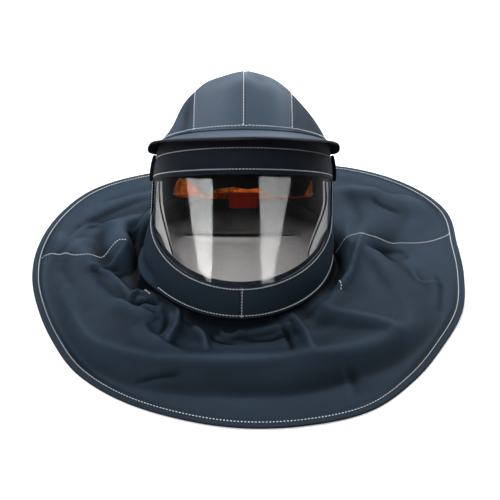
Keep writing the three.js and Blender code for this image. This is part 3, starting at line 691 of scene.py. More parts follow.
print("window")
window = {
    "below": 32, "above": 16, "welt": 6, "weltEnd": 4, "bindingWall": 2,
    "bow": 0.9, "ripples": 4, "stillFrom": 90, "stillSpan": 20,
}
windowHeight = (head["rings"][2][3] - head["rings"][1][3]) * head["height"]
weltLevel = window["welt"] / windowHeight


def windowRelief(azimuth, level):
    # A parabola between the bands times a sine along the curve, still near both ends
    bow = np.clip(level - 1, 0, 1) * np.clip(2 - level, 0, 1) * 4
    ripple = 0.5 + 0.5 * np.sin(np.radians(azimuth * window["ripples"] + 30))
    free = smooth((window["stillFrom"] - np.abs(azimuth)) / window["stillSpan"])
    return -window["bow"] * bow * ripple * free


sideAngle = cloth["side"]
outer, inner = wall(
    headPoint, edgeSpread(-sideAngle, sideAngle, 240, 0.3),
    edgeSpread(1 - window["below"] / windowHeight, 2 + window["above"] / windowHeight, 44, 0.004),
    -cloth["gap"] - cloth["windowWall"], -cloth["gap"], windowRelief,
)
windowPiece = shellPiece("windowSheet", outer, inner, clearLook, "clear_window", ["window"])
weltTop = -3 * cloth["gap"] - cloth["windowWall"]
outer, inner = wall(
    headPoint, edgeSpread(-sideAngle + window["weltEnd"], sideAngle - window["weltEnd"], 160, 0.5),
    edgeSpread(1 - weltLevel, 1 + weltLevel, 5, 0.004), weltTop - window["bindingWall"], weltTop,
    windowRelief,
)
shellPiece("windowWelt", outer, inner, trimCloth, "black_trim", ["window_welt"])

sideFlaps = {
    # azimuth of the outer end, and of the inner edge at its top and foot
    "outer": 82, "edgeTop": 68, "edgeFoot": 44, "levels": (1.05, 1.95), "inside": 5.0, "wall": 1.2,
    "wander": 1.6, "wave": 1.6, "piping": 1.2, "pipingPlace": 1.02, "pipingInside": 3.5,
}


def flapPoint(side, across, level):
    # A strip of lining close behind the window, its inner edge wandering by a sine of the level
    edge = lerp(sideFlaps["edgeFoot"], sideFlaps["edgeTop"], smooth((level - 0.95) / 0.7))
    edge = edge + sideFlaps["wander"] * np.sin(level * 8 + side)
    return headPoint(side * lerp(sideFlaps["outer"], edge, across), level)


for name, side in (("Left", -1), ("Right", 1)):
    across, level = np.meshgrid(edgeSpread(0, 1, 26, 0.03), edgeSpread(*sideFlaps["levels"], 40, 0.01))
    inwards = -outward(np.array(side * float(sideFlaps["edgeTop"])))
    waves = sideFlaps["inside"] + sideFlaps["wave"] * np.sin(across * 9 + 3 * level)
    outer = flapPoint(side, across, level) + inwards * waves[..., None]
    inner = outer + inwards * sideFlaps["wall"]
    shellPiece(f"sideFlap{name}", outer, inner, flapCloth, "grey_lining")
    level, turn = np.meshgrid(np.linspace(*sideFlaps["levels"], 60), np.linspace(0, 2 * math.pi, 11)[:-1])
    path = flapPoint(side, np.full_like(level, sideFlaps["pipingPlace"]), level)
    path = path + inwards * sideFlaps["pipingInside"]
    sideways = unit(np.cross(inwards, [0, 0, 1]))
    ring = np.cos(turn)[..., None] * sideways + np.sin(turn)[..., None] * inwards
    tube = path + ring * sideFlaps["piping"] * edgeWeight(60)[None, :, None]
    tubePiece(f"sidePiping{name}", tube, trimCloth)

print("brow and chin bands")
bands = {
    "chinBulge": 2.0, "browBulge": 0.9, "pucker": 0.35, "chinRows": (0.1, 0.93), "browRows": (2.13, 2.64),
    "chinRowWidth": 0.03, "browRowWidth": 0.02, "seamDip": 0.6, "seamWidth": 0.9,
    "crease": 0.5, "creases": 9, "creaseSlant": 70,
    # lip that rolls out low on the left, and the hollow over it: azimuth, span; height, place, width
    "lipFrom": -50, "lipSpan": 14, "lip": (3.6, 0.05, 0.07), "lipHollow": (2.2, 0.26, 0.1),
}
browHeight = (head["rings"][3][3] - head["rings"][2][3]) * head["height"]
underEave = 3 - 6 * cloth["gap"] / browHeight


def betweenRows(level, rows, bulge, rowWidth):
    # Half a sine wave between two stitch rows, less a dip under each row
    low, high = rows
    swell = bulge * np.sin(np.pi * np.clip((level - low) / (high - low), 0, 1))
    return swell, bands["pucker"] * (bell(level - low, rowWidth) + bell(level - high, rowWidth))


def chinRelief(azimuth, level):
    # The band swells between its stitch rows, less at the middle seam, with slanting creases and a rolled lip
    swell, dips = betweenRows(level, bands["chinRows"], bands["chinBulge"], bands["chinRowWidth"])
    slant = np.radians(azimuth * bands["creases"] + level * bands["creaseSlant"])
    creases = bands["crease"] * np.sin(slant) * np.sin(np.pi * np.clip(level, 0, 1))
    (lip, lipAt, lipWidth), (hollow, hollowAt, hollowWidth) = bands["lip"], bands["lipHollow"]
    roll = lip * bell(level - lipAt, lipWidth) - hollow * bell(level - hollowAt, hollowWidth)
    seam = bands["seamDip"] * bell(azimuth, bands["seamWidth"])
    flatter = swell * (1 - 0.25 * bell(azimuth, 4))
    return flatter - dips - seam + creases + smooth((bands["lipFrom"] - azimuth) / bands["lipSpan"]) * roll


def browRelief(azimuth, level):
    swell, dips = betweenRows(level, bands["browRows"], bands["browBulge"], bands["browRowWidth"])
    return swell - dips


outer, inner = wall(
    headPoint, edgeSpread(-sideAngle, sideAngle, 220, 0.5), edgeSpread(2, underEave, 26, 0.02),
    0, cloth["wall"], browRelief,
)
browPiece = shellPiece("browBand", outer, inner, browCloth, "dark_cloth", ["brow_band"])
browTurns = np.linspace(-sideAngle + 1.5, sideAngle - 1.5, 700)
for row in bands["browRows"]:
    stitchOn(headPoint, browTurns, row, cloth["wall"], "bands", browRelief)

seamAngle = math.degrees(cloth["gap"] / 2 / head["frontDepth"])
for name, node, low, high in (
    ("chinBandLeft", "chin_band_left", -sideAngle, -seamAngle),
    ("chinBandRight", "chin_band_right", seamAngle, sideAngle),
):
    outer, inner = wall(
        headPoint, edgeSpread(low, high, 130, 0.5), edgeSpread(0, 1, 26, 0.03), 0, cloth["wall"], chinRelief
    )
    shellPiece(name, outer, inner, hoodCloth, "cape_cloth", [node])
chinTurns = np.linspace(-sideAngle + 1.5, sideAngle - 1.5, 800)
for row, start in zip(bands["chinRows"], (-52, -98)):
    stitchOn(headPoint, chinTurns[chinTurns > start], row, cloth["wall"], "bands", chinRelief)
stitchOn(headPoint, 0.9, np.linspace(0.03, 0.98, 80), cloth["wall"], "bands", chinRelief)

# offsets over the head: the tab's inner face, the foot of its padding and its outer face
tabs = {
    "azimuth": (84, 103), "levels": (2.0, 2.74), "bulge": 3.0, "inside": 3.4, "foot": 3.6, "outside": 5.8,
}


def tabRelief(azimuth, level):
    # The root of half a sine wave up the tab
    low, high = tabs["levels"]
    way = np.clip((level - low) / (high - low), 0, 1)
    return tabs["bulge"] * np.sqrt(np.sin(np.pi * lerp(0.03, 0.97, way)))


for name, side in (("Left", -1), ("Right", 1)):
    turns = edgeSpread(*sorted(side * angle for angle in tabs["azimuth"]), 16, 0.8)
    levels = edgeSpread(*tabs["levels"], 26, 0.02)
    outer, _ = wall(headPoint, turns, levels, tabs["foot"], tabs["outside"], tabRelief)
    _, inner = wall(headPoint, turns, levels, tabs["inside"], tabs["foot"])
    shellPiece(f"browTab{name}", outer, inner, trimCloth, "black_trim")

print("back panel and bindings")
backs = {"bindingHalfAngle": 4, "bindingRow": 0.9, "slack": 2.4, "stillFrom": 80, "stillSpan": 30}
gapAngle = math.degrees(cloth["gap"] / head["halfWidth"])
backAngles = edgeSpread(sideAngle + gapAngle, 360 - sideAngle - gapAngle, 170, 0.4)


def backRelief(azimuth, level):
    # Slack cloth: two slow sines round the back, gone at its edges
    free = smooth((backs["stillFrom"] - np.abs(azimuth - 180)) / backs["stillSpan"])
    free = free * np.sin(np.pi * np.clip(level / 3, 0, 1))
    swell = np.sin(np.radians(azimuth * 4.3)) + 0.6 * np.sin(np.radians(azimuth * 9.1 + 50 * level))
    return backs["slack"] * free * (swell - 0.4)


azimuth, level = np.meshgrid(backAngles, np.concatenate([[0, 0.01], np.linspace(0.04, 2.8, 60)]))
relief = backRelief(azimuth, level)
normals = normalsOn(headPoint, azimuth, level)
clearOfEave = smooth((180 - eave["halfAngle"] - 4 - np.abs(backAngles - 180)) / 8)
topRow = headPoint(backAngles, lerp(underEave, 3, clearOfEave))
topRow = topRow + crownUp * ((crownLift - 2 * cloth["gap"]) * clearOfEave)[:, None]
topNormals = normalsOn(headPoint, backAngles, np.full_like(backAngles, 2.98))
shells = []
for offset in (cloth["wall"], 0):
    points = headPoint(azimuth, level) + normals * (relief + offset)[..., None]
    shells.append(np.concatenate([points, (topRow + topNormals * offset)[None]]))
backPiece = shellPiece("backPanel", *shells, hoodCloth, "cape_cloth", ["back_panel"])
backTurns = np.linspace(sideAngle + 6, 354 - sideAngle, 700)
stitchOn(headPoint, backTurns, 0.1, cloth["wall"], "bands", backRelief)
stitchOn(headPoint, 180.8, np.linspace(0.04, 2.75, 300), cloth["wall"], "bands", backRelief)

bindingInside = cloth["wall"] + cloth["gap"]
bindingOutside = bindingInside + window["bindingWall"]
half = backs["bindingHalfAngle"]
for name, node, side in (
    ("sideBindingLeft", "side_binding_left", -1), ("sideBindingRight", "side_binding_right", 1),
):
    turns = edgeSpread(side * sideAngle - half, side * sideAngle + half, 12, 0.4)
    outer, inner = wall(headPoint, turns, edgeSpread(0.85, 2.97, 60, 0.01), bindingInside, bindingOutside)
    shellPiece(name, outer, inner, trimCloth, "black_trim", [node])
    for edge in (-half + backs["bindingRow"], half - backs["bindingRow"]):
        stitchOn(headPoint, side * sideAngle + edge, np.linspace(0.88, 2.94, 200), bindingOutside, "bindings")

print("cape")
cape = {
    "width": 664, "length": 676, "crestRise": 32, "hemWall": 3.4, "hemDepth": 11, "hemRow": 9.5,
    "shoulderLeft": -99, "shoulderRight": 105, "collarTuck": 9, "collarDip": 1.5,
    "ripple": 0.45, "freeShare": 0.08, "calmFrom": 0.8, "flatFrom": 0.9,
    # the cloth sinks in a ring round the collar, but rests on it in front: depth or height, share, width
    "moat": (16, 0.05, 0.045), "rest": (7, 0.1, 0.075), "aheadFrom": 78, "aheadSpan": 30,
    "behindFrom": 150, "behindSpan": 24, "collarShadowSpan": 20,
    # hem: pinch under its row of stitches and its width as a share, and rows of points from row to edge
    "pinch": 0.45, "pinchWidth": 0.006, "hemSteps": (8, 6, 4, 2.4, 1.3, 0.5, 0),
    # creases: how their heights and widths are set, by whether both widths are under narrowUnder
    "creaseRise": 1.1, "narrowUnder": 11, "narrow": 0.7, "broad": 0.9,
    # painted tone, painted shade in hollows and painted highlight on crests: reach in points, height that
    # counts in full and weight, fine and broad; painted light of the sides
    "fineTone": (3, 1.6, 0.45), "broadTone": (10, 11, 0.6), "crestShare": 0.55,
    "sideLight": 0.24, "sideFrom": 84, "sideSpan": 24,
    # distance of the hem from the head's axis as a share of half the width, every 15 degrees from the back
    "hem": np.array([
        1.025, 1.02, 1.063, 1.084, 1.048, 1.003, 0.96, 0.93, 0.93, 0.957, 0.972, 0.984,
        1.008, 1.03, 1.05, 1.022, 1.004, 1.02, 1.03, 1.076, 1.18, 1.195, 1.15, 1.068,
    ]),
    # dip, plateau, place of the crest, crest, place of the foot, foot, lift of the hem
    "drape": np.array([
        [1.44, 1.44, 0.4, 1.06, 0.8, 0.22, 0.0], [1.44, 1.44, 0.4, 1.12, 0.8, 0.22, 0.0],
        [1.56, 1.62, 0.35, 1.31, 0.75, 0.38, 0.03], [1.62, 1.75, 0.3, 1.38, 0.75, 0.44, 0.06],
        [1.69, 1.75, 0.28, 1.19, 0.75, 0.38, 0.06], [1.41, 1.41, 0.35, 0.94, 0.8, 0.38, 0.03],
        [0.5, 0.69, 0.6, 0.69, 0.88, 0.28, 0.03], [0.62, 0.88, 0.6, 0.75, 0.92, 0.25, 0.06],
        [0.75, 0.88, 0.72, 0.75, 0.93, 0.22, 0.03], [0.62, 0.81, 0.74, 0.88, 0.93, 0.19, 0.0],
        [0.5, 0.75, 0.62, 0.94, 0.86, 0.19, 0.0], [0.44, 0.72, 0.5, 0.97, 0.76, 0.19, 0.0],
        [0.44, 0.75, 0.42, 0.97, 0.7, 0.19, 0.0], [0.44, 0.78, 0.46, 0.97, 0.7, 0.19, 0.0],
        [0.5, 0.78, 0.49, 1.0, 0.72, 0.22, 0.0], [0.62, 0.81, 0.62, 1.03, 0.84, 0.25, 0.03],
        [0.81, 0.94, 0.7, 0.88, 0.9, 0.25, 0.06], [1.06, 1.19, 0.45, 0.94, 0.85, 0.31, 0.09],
        [1.19, 1.44, 0.3, 1.38, 0.62, 0.38, 0.12], [1.25, 1.56, 0.22, 1.5, 0.52, 0.31, 0.03],
        [1.41, 1.56, 0.35, 1.25, 0.7, 0.44, 0.0], [1.5, 1.62, 0.4, 1.38, 0.8, 0.38, 0.0],
        [1.5, 1.56, 0.4, 1.25, 0.8, 0.31, 0.03], [1.5, 1.5, 0.4, 1.12, 0.8, 0.25, 0.03],
    ]),
    # three places as azimuth and share of the way to the hem, height share, widths inwards and outwards
    "folds": [
        [54, 0.66, 49, 0.35, 42, 0.02, 0.3, 0.09, 0.05],
        [17, 0.0, 29, 0.14, 24, 0.42, 0.25, 0.05, 0.05],
        [-46, 0.03, -32, 0.12, -29, 0.4, 0.3, 0.05, 0.045],
        [-44, 0.38, -34, 0.44, -22, 0.46, 0.2, 0.04, 0.035],
        [-61, 0.34, -53, 0.28, -40, 0.22, 0.45, 0.035, 0.045],
        [-62, 0.26, -54, 0.22, -44, 0.16, -0.4, 0.03, 0.03],
        [-110, 1.0, -100, 0.66, -88, 0.42, 0.36, 0.07, 0.075],
        [-86, 0.38, -73, 0.2, -58, 0.3, 0.12, 0.045, 0.045],
        [-114, 0.52, -100, 0.42, -90, 0.26, -0.45, 0.05, 0.05],
        [-126, 0.5, -106, 0.38, -99, 0.06, 0.14, 0.06, 0.06],
        [-98, 0.14, -86, 0.18, -70, 0.06, -0.45, 0.05, 0.05],
        [102, 0.26, 80, 0.12, 62, 0.12, 0.32, 0.05, 0.05],
        [98, 0.36, 100, 0.46, 103, 0.6, -0.25, 0.06, 0.06],
        [140, 0.3, 131, 0.55, 121, 0.92, 0.45, 0.07, 0.06],
        [-136, 0.2, -126, 0.44, -117, 0.72, -0.34, 0.05, 0.055],
        [-144, 0.3, -134, 0.5, -126, 0.74, 0.3, 0.07, 0.06],
        [31, 0.62, 31, 0.78, 29, 0.92, -0.05, 0.03, 0.04],
    ],
    # creases too fine for the solids: plan points, height and widths in millimetres
    "creases": [
        [
            [
                (-273, -62), (-224, -173), (-187, -206), (-131, -229), (-63, -237), (3, -238), (70, -227),
                (116, -220), (162, -208), (199, -187),
            ], 4.5, 16, 8,
        ],  # crest of the front ridge
        [[(-142, -250), (-76, -264), (2, -269), (70, -264), (131, -246)], -5, 26, 20],  # slope below it
        [[(-148, -255), (-119, -251), (-91, -250)], -2.5, 5, 5],  # left end crease
        [[(136, -231), (141, -244), (143, -278)], -0.5, 9, 9],  # right end crease
        [[(130, -236), (132, -254), (134, -291)], 1.0, 9, 8],  # right end ridge
        [
            [(206, -177), (203, -166), (185, -160), (154, -147), (122, -130), (100, -113)], 4.5, 12, 10,
        ],  # tip back to the chin
        [[(45, -150), (63, -146), (79, -178), (86, -218)], 6, 7, 6],  # chin fold right
        [[(44, -157), (54, -169), (60, -212)], -4, 7, 6],  # dark side of it
        [[(-108, -123), (-98, -135), (-99, -159), (-109, -196)], 7, 5, 5],  # chin fold left
        [[(-121, -121), (-114, -145), (-121, -180)], -5, 7, 6],  # dark side of it
        [[(-147, -152), (-136, -179), (-112, -206), (-89, -218)], 3.5, 8, 8],  # round fold left
        [[(-173, -93), (-159, -74), (-140, -90), (-130, -103)], 8, 5, 5],  # pleat roll
        [[(-160, -97), (-145, -99), (-130, -109)], -9, 5, 5],  # pleat hollow
        [[(-168, -102), (-152, -124), (-135, -135), (-122, -135)], 5, 6, 6],  # pleat lip
        [[(-237, -4), (-203, -19), (-177, -69), (-170, -90)], 6, 7, 7],  # left second fold
        [[(-281, -1), (-265, -33), (-246, -67)], -3, 11, 9],  # left dent
        [[(-228, -4), (-208, -44), (-180, -86)], -12, 20, 18],  # left hollow under the seam
        [[(-184, 92), (-176, 68), (-169, 36), (-161, -6)], -38, 26, 10],  # pocket
        [[(-211, 5), (-198, 16), (-187, 24), (-184, 36)], 5, 6, 6],  # pocket edge
        [[(174, 34), (156, -27), (148, -54), (135, -75)], 8, 7, 6],  # right fold
        [[(138, 8), (140, -40), (128, -64)], -9, 10, 8],  # right hollow
        [[(147, 164), (192, 168), (227, 204), (295, 200)], 4, 12, 12],  # right top ridge
        [[(200, 156), (220, 153), (243, 153)], -3, 8, 8],  # right top dent
        [[(285, -14), (287, -46), (278, -98)], -3, 8, 6],  # right outer crease
        [[(264, -173), (253, -183), (244, -190)], -2.2, 5, 5],  # right hem crease
        [[(-258, 142), (-224, 151), (-157, 151)], -4, 9, 9],  # left top crease
        [[(-277, 65), (-255, 132), (-200, 93)], 3, 9, 8],  # left top ridge
        [[(-283, 13), (-269, 35), (-255, 67)], 6, 13, 13],  # seam hump left
        [[(176, 16), (207, 49), (239, 50)], -8, 11, 10],  # right under seam
        [[(248, 4), (257, -32), (286, -26)], 2.6, 5, 5],  # right shelf
        [[(-38, -168), (-27, -175), (-6, -170)], 6, 4, 4],  # crumple under the chin
        [[(-17, -174), (20, -168), (59, -156)], 6, 5, 5],  # crumple right of it
        [[(-75, -156), (-62, -172), (-55, -204)], 6, 5, 5],  # crumple left of it
        [[(-50, -170), (-44, -182), (-20, -190)], -5, 6, 5],  # dark side of it
        [[(0, -184), (30, -182), (50, -172)], -5, 6, 5],  # hollow behind the right crumple
    ],
    # how far each shoulder seam wanders from its straight line: share, degrees
    "seamRight": [
        [0, 0], [0.06, -2.5], [0.13, -2], [0.25, 0.5], [0.38, 3.6], [0.54, 3.8], [0.7, 2.2], [0.87, 3.2],
        [1, 5.8],
    ],
    "seamLeft": [
        [0, 0], [0.12, -1], [0.24, -4], [0.34, -2], [0.46, 3], [0.58, 5], [0.7, 3], [0.82, 0], [1, 0],
    ],
    # how wide the painted shadow in a ring at the collar is: azimuth, share
    "collarShadowReach": [
        [-180, 0.05], [-136, 0.06], [-126, 0.2], [-118, 0.34], [-108, 0.3], [-98, 0.24], [-88, 0.2],
        [-74, 0.13], [-60, 0.07], [-40, 0.09], [0, 0.08], [30, 0.06], [58, 0.08], [78, 0.1], [100, 0.07],
        [140, 0.06], [180, 0.05],
    ],
    # short rows on the pleats as azimuth and share
    "stitchBits": [[(-76, 0.075), (-66, 0.065), (-56, 0.06)], [(67, 0.11), (64, 0.135), (61, 0.15)]],
}


def catmullRom(a, b, c, d, t):
    # The cubic from b to c whose slopes there are half of c - a and of d - b
    return b + 0.5 * t * (c - a + t * (2 * a - 5 * b + 4 * c - d + t * (3 * (b - c) + d - a)))


def roundTable(values, azimuth):
    # Catmull-Rom curve through a table that goes once round from the back
    place = (azimuth + 180) / (360 / len(values))
    low = np.floor(place).astype(int)
    t = (place - low) if values.ndim == 1 else (place - low)[..., None]
    return catmullRom(*(values[(low + k) % len(values)] for k in (-1, 0, 1, 2)), t)


collarBottom = head["rings"][0][3] * head["height"]
neckX = head["x"] + head["lean"] * collarBottom
neckAxis = np.array([neckX, head["y"]])


def neckRadius(azimuth, height=0.0):
    # Inner face of the collar at a height above the chin ring
    point = headPoint(azimuth, height / (headPoint(azimuth, 1)[..., 2] - collarBottom))
    reach = np.hypot(point[..., 0] - neckX, point[..., 1] - head["y"])
    return reach - 2 * cloth["gap"] - cloth["wall"]


def hemRaw(azimuth):
    # The table's hem before it is brought to the cape's width and length
    radius = roundTable(cape["hem"], azimuth) * cape["width"] / 2
    return neckAxis + outward(azimuth)[..., :2] * radius[..., None]


hemSamples = hemRaw(np.linspace(-180, 180, 721))
hemMiddle = (hemSamples.min(0) + hemSamples.max(0)) / 2
hemScale = np.array([cape["width"], cape["length"]]) / (hemSamples.max(0) - hemSamples.min(0))


def hemPlan(azimuth):
    return (hemRaw(azimuth) - hemMiddle) * hemScale


def capePlan(azimuth, share):
    # Straight in plan from the collar to the hem
    neck = neckAxis + outward(azimuth)[..., :2] * neckRadius(azimuth)[..., None]
    return lerp(neck, hemPlan(azimuth), share[..., None])


def splineLine(points, count=40):
    # Catmull-Rom curve through a few plan points, its ends repeated
    p = np.concatenate([points[:1], points, points[-1:]])
    t = np.linspace(0, len(points) - 1, count)
    k = np.clip(t.astype(int), 0, len(points) - 2)
    return catmullRom(p[k], p[k + 1], p[k + 2], p[k + 3], (t - k)[:, None])


def foldOver(plan, line, height, inner, outer):
    # A bell across the nearest stretch of the line, its width by the side, fading at both ends
    start, span = line[:-1], np.diff(line, axis=0)
    margin = 2.6 * max(inner, outer)
    near = np.all((plan > line.min(0) - margin) & (plan < line.max(0) + margin), axis=-1)
    rise = np.zeros(plan.shape[:-1])
    flat = plan[near]
    reach = flat[:, None] - start
    t = np.clip((reach * span).sum(-1) / (span ** 2).sum(-1), 0, 1)
    apart = np.linalg.norm(reach - t[..., None] * span, axis=-1)
    best = apart.argmin(1)
    rows = np.arange(len(flat))
    foot = start[best] + t[rows, best, None] * span[best]
    beyond = np.linalg.norm(flat - neckAxis, axis=1) - np.linalg.norm(foot - neckAxis, axis=1)
    outside = smooth(beyond / (0.5 * (inner + outer)) + 0.5)
    along = (best + t[rows, best]) / len(span)
    taper = np.sqrt(np.sin(np.pi * lerp(0.04, 0.96, along)))
    rise[near] = height * taper * bell(apart[rows, best], lerp(inner, outer, outside))
    return rise


foldLines = []
for a0, s0, a1, s1, a2, s2, height, inner, outer in cape["folds"]:
    ends = capePlan(np.array([a0, a1, a2], float), np.array([s0, s1, s2], float))
    half = cape["width"] / 2
    foldLines.append((splineLine(ends), height * cape["crestRise"], inner * half, outer * half))
for points, height, inner, outer in cape["creases"]:
    size = cape["narrow"] if max(inner, outer) < cape["narrowUnder"] else cape["broad"]
    line = splineLine(np.array(points, float))
    foldLines.append((line, height * cape["creaseRise"], inner * size, outer * size))


def foldRise(plan):
    return sum(foldOver(plan, *fold) for fold in foldLines)


def ripple(plan):
    # Slow uneven swells: sines in several directions whose phases bend each other
    x, y = plan[..., 0], plan[..., 1]
    bend = 1.6 * np.sin(x / 61 + 1.3) + 1.2 * np.sin(y / 47 - 0.4)
    swell = np.sin(x / 23 + bend) * np.sin(y / 31 - bend) + 0.6 * np.sin((x + y) / 17 + 1.7 * bend)
    return swell + 0.4 * np.sin((x - 1.4 * y) / 11 + bend)


def hemSharePlace(azimuth, depth):
    # Share of the way to the hem that lies a depth inside it
    length = np.linalg.norm(hemPlan(azimuth) - capePlan(azimuth, np.zeros_like(azimuth)), axis=-1)
    return 1 - depth / length


def capeMiddle(azimuth, share):
    # Heights join the table's knots by smooth steps; folds and ripples fade at the neck and the hem
    azimuth, share = np.broadcast_arrays(np.asarray(azimuth, float), np.asarray(share, float))
    plan = capePlan(azimuth, share)
    drape = np.moveaxis(roundTable(cape["drape"], azimuth), -1, 0)
    rise = cape["crestRise"]
    lift = cape["hemWall"] / 2 + np.maximum(0, drape[6]) * rise
    places = [0, 0.09, 0.5 * drape[2] + 0.045, drape[2], drape[4], 1]
    heights = [collarBottom - 4 * cape["collarDip"], *(drape[k] * rise for k in (0, 1, 3, 5)), lift]
    z = np.full(azimuth.shape, heights[0])
    for k in range(1, len(places)):
        z = z + (heights[k] - heights[k - 1]) * smooth((share - places[k - 1]) / (places[k] - places[k - 1]))
    hemStart = hemSharePlace(azimuth, cape["hemDepth"])
    calm = smooth((share - cape["calmFrom"]) / (hemStart - cape["calmFrom"]))
    free = smooth(share / cape["freeShare"]) * (1 - calm)
    z = z + (foldRise(plan) + cape["ripple"] * ripple(plan)) * free
    aside = np.abs(halfTurn(azimuth))
    ahead = smooth((cape["aheadFrom"] - aside) / cape["aheadSpan"])
    notBehind = smooth((cape["behindFrom"] - aside) / cape["behindSpan"])
    (depth, moatAt, moatWidth), (height, restAt, restWidth) = cape["moat"], cape["rest"]
    z = z - depth * bell(share - moatAt, moatWidth) * notBehind * (1 - ahead)
    z = z + height * bell(share - restAt, restWidth) * ahead
    flat = smooth((share - cape["flatFrom"]) / (hemStart - cape["flatFrom"]))
    z = np.maximum(lift + 0.5 * (1 - flat), lerp(z, lift, flat))
    return np.concatenate([plan, z[..., None]], -1)


def capeHalf(azimuth, share):
    # Half of the cloth's thickness: thicker in the turned hem, pinched at its stitch row, round at its edge
    hemStart = hemSharePlace(azimuth, cape["hemDepth"])
    half = lerp(cloth["wall"], cape["hemWall"], smooth((share - hemStart) / 0.006 + 1)) / 2
    row = hemSharePlace(azimuth, cape["hemRow"])
    edge = np.clip((1 - share) / (1 - hemSharePlace(azimuth, cape["hemWall"] / 2)), 0, 1)
    pinched = half - cape["pinch"] * bell(share - row, cape["pinchWidth"])
    return pinched * np.sqrt(1 - 0.8 * (1 - edge) ** 2)


def softened(values, reach):
    # Mean over a square of neighbours, as two running means, the edges repeated
    window = 2 * reach + 1
    for axis, ends in enumerate((((reach + 1, reach), (0, 0)), ((0, 0), (reach + 1, reach)))):
        size = values.shape[axis]
        total = np.cumsum(np.pad(values, ends, "edge"), axis)
        values = (total.take(range(window, size + window), axis) - total.take(range(size), axis)) / window
    return values


def keepPaintedShade(piece, tone):
    # The same fold value, painted shade and highlight, on both faces of a shell
    layer = piece.data.attributes.new("fold", "FLOAT", "POINT")
    layer.data.foreach_set("value", np.tile(tone.ravel(), 2).astype(np.float32))


def paintedFoldShade(height):
    # Height over the cloth's own mean near by, at a fine and a broad scale, from -1 in hollows to 1 on
    # crests, for painted shade in the hollows and painted highlight on the crests
    value = 0
    for reach, full, weight in (cape["fineTone"], cape["broadTone"]):
        over = (height - softened(softened(height, reach), reach)) / full
        value = value + np.clip(over, -1, 1) * weight
    return np.clip(np.where(value > 0, cape["crestShare"] * value, value), -1, 1)


def seamShift(shoulder, share):
    # Degrees that a shoulder seam wanders from its straight line
    side = "seamRight" if shoulder == cape["shoulderRight"] else "seamLeft"
    return roundedTable(cape[side], share)


def capeShell(name, node, low, high, columns):
    # Half of the cape between two shoulder seams, with its collar standing inside the chin band
    shares = np.concatenate([np.linspace(0.02, 0.9, 84), np.linspace(0.91, 0.965, 6)])
    turns = np.linspace(low, high, columns)
    shift = np.zeros(columns)
    shift[[0, -1]] = cloth["gap"] / 2, -cloth["gap"] / 2
    azimuth, share = np.meshgrid(turns, shares)
    depths = (cape["hemDepth"] + 1.5, cape["hemDepth"], cape["hemRow"], *cape["hemSteps"])
    hemPlaces = [hemSharePlace(turns, depth) for depth in depths]
    azimuth = np.concatenate([azimuth, np.broadcast_to(turns, (len(hemPlaces), columns))])
    share = np.concatenate([share, np.array(hemPlaces)])
    reach = lerp(head["halfWidth"], cape["width"] / 2, share)
    way = (azimuth - low) / (high - low)
    azimuth = azimuth + lerp(seamShift(low, share), seamShift(high, share), way)
    middle = capeMiddle(azimuth + np.degrees(shift / reach), share)
    normals = gridNormals(middle)
    normals = np.where(normals[..., 2:] < 0, -normals, normals)
    for edge in (0, -1):
        # the seams' normals lie in an upright plane
        away = outward(turns[edge])
        across = np.array([-away[1], away[0], 0])
        n = normals[:, edge]
        normals[:, edge] = unit(n - (n @ across)[:, None] * across)
    half = capeHalf(azimuth, share)[..., None]
    upper, lower = middle + normals * half, middle - normals * half
    collarUp, collarDown = [], []
    for height in (cape["collarTuck"], 0.5 * cape["collarTuck"], 0, -cape["collarDip"]):
        radius = neckRadius(turns, max(0, height))
        for rows, offset in ((collarUp, cloth["wall"] - cloth["gap"]), (collarDown, -cloth["gap"])):
            centre = np.array([*neckAxis, collarBottom + height])
            rows.append(centre + outward(turns) * (radius + offset)[:, None])
    upper = np.concatenate([np.array(collarUp), upper])
    lower = np.concatenate([np.array(collarDown), lower])
    lower[..., 2] = np.maximum(lower[..., 2], 0)
    piece = shellPiece(name, lower, upper, hoodCloth, "cape_cloth", [node], uv=upper[..., :2], sharp=60)
    turned = halfTurn(azimuth)
    aside = np.abs(turned)
    # painted shadow in a ring round the collar under the chin band, darker hollows and lighter crests, and
    # painted light on the sides
    collarShadowReach = np.interp(turned, *np.array(cape["collarShadowReach"]).T)
    collarShadow = smooth((collarShadowReach - share) / (0.6 * collarShadowReach))
    collarShadow = collarShadow * smooth((cape["behindFrom"] - aside) / cape["collarShadowSpan"])
    light = cape["sideLight"] * smooth((aside - cape["sideFrom"]) / cape["sideSpan"])
    tone = lerp(np.clip(paintedFoldShade(middle[..., 2]) + light, -1, 1), -1, collarShadow)
    keepPaintedShade(piece, np.concatenate([np.repeat(tone[:1], len(collarUp), 0), tone]))
    return piece


capePieces = [
    capeShell("capeFront", "cape_front", cape["shoulderLeft"], cape["shoulderRight"], 400),
    capeShell("capeBack", "cape_back", cape["shoulderRight"], 360 + cape["shoulderLeft"], 300),
]


def capeRow(azimuth, share, group):
    # A row of stitches on the cape's upper face
    azimuth, share = np.broadcast_arrays(np.asarray(azimuth, float), np.asarray(share, float))
    normals = normalsOn(capeMiddle, azimuth, share)
    normals = np.where(normals[..., 2:] < 0, -normals, normals)
    stitch(capeMiddle(azimuth, share) + normals * capeHalf(azimuth, share)[..., None], normals, group)


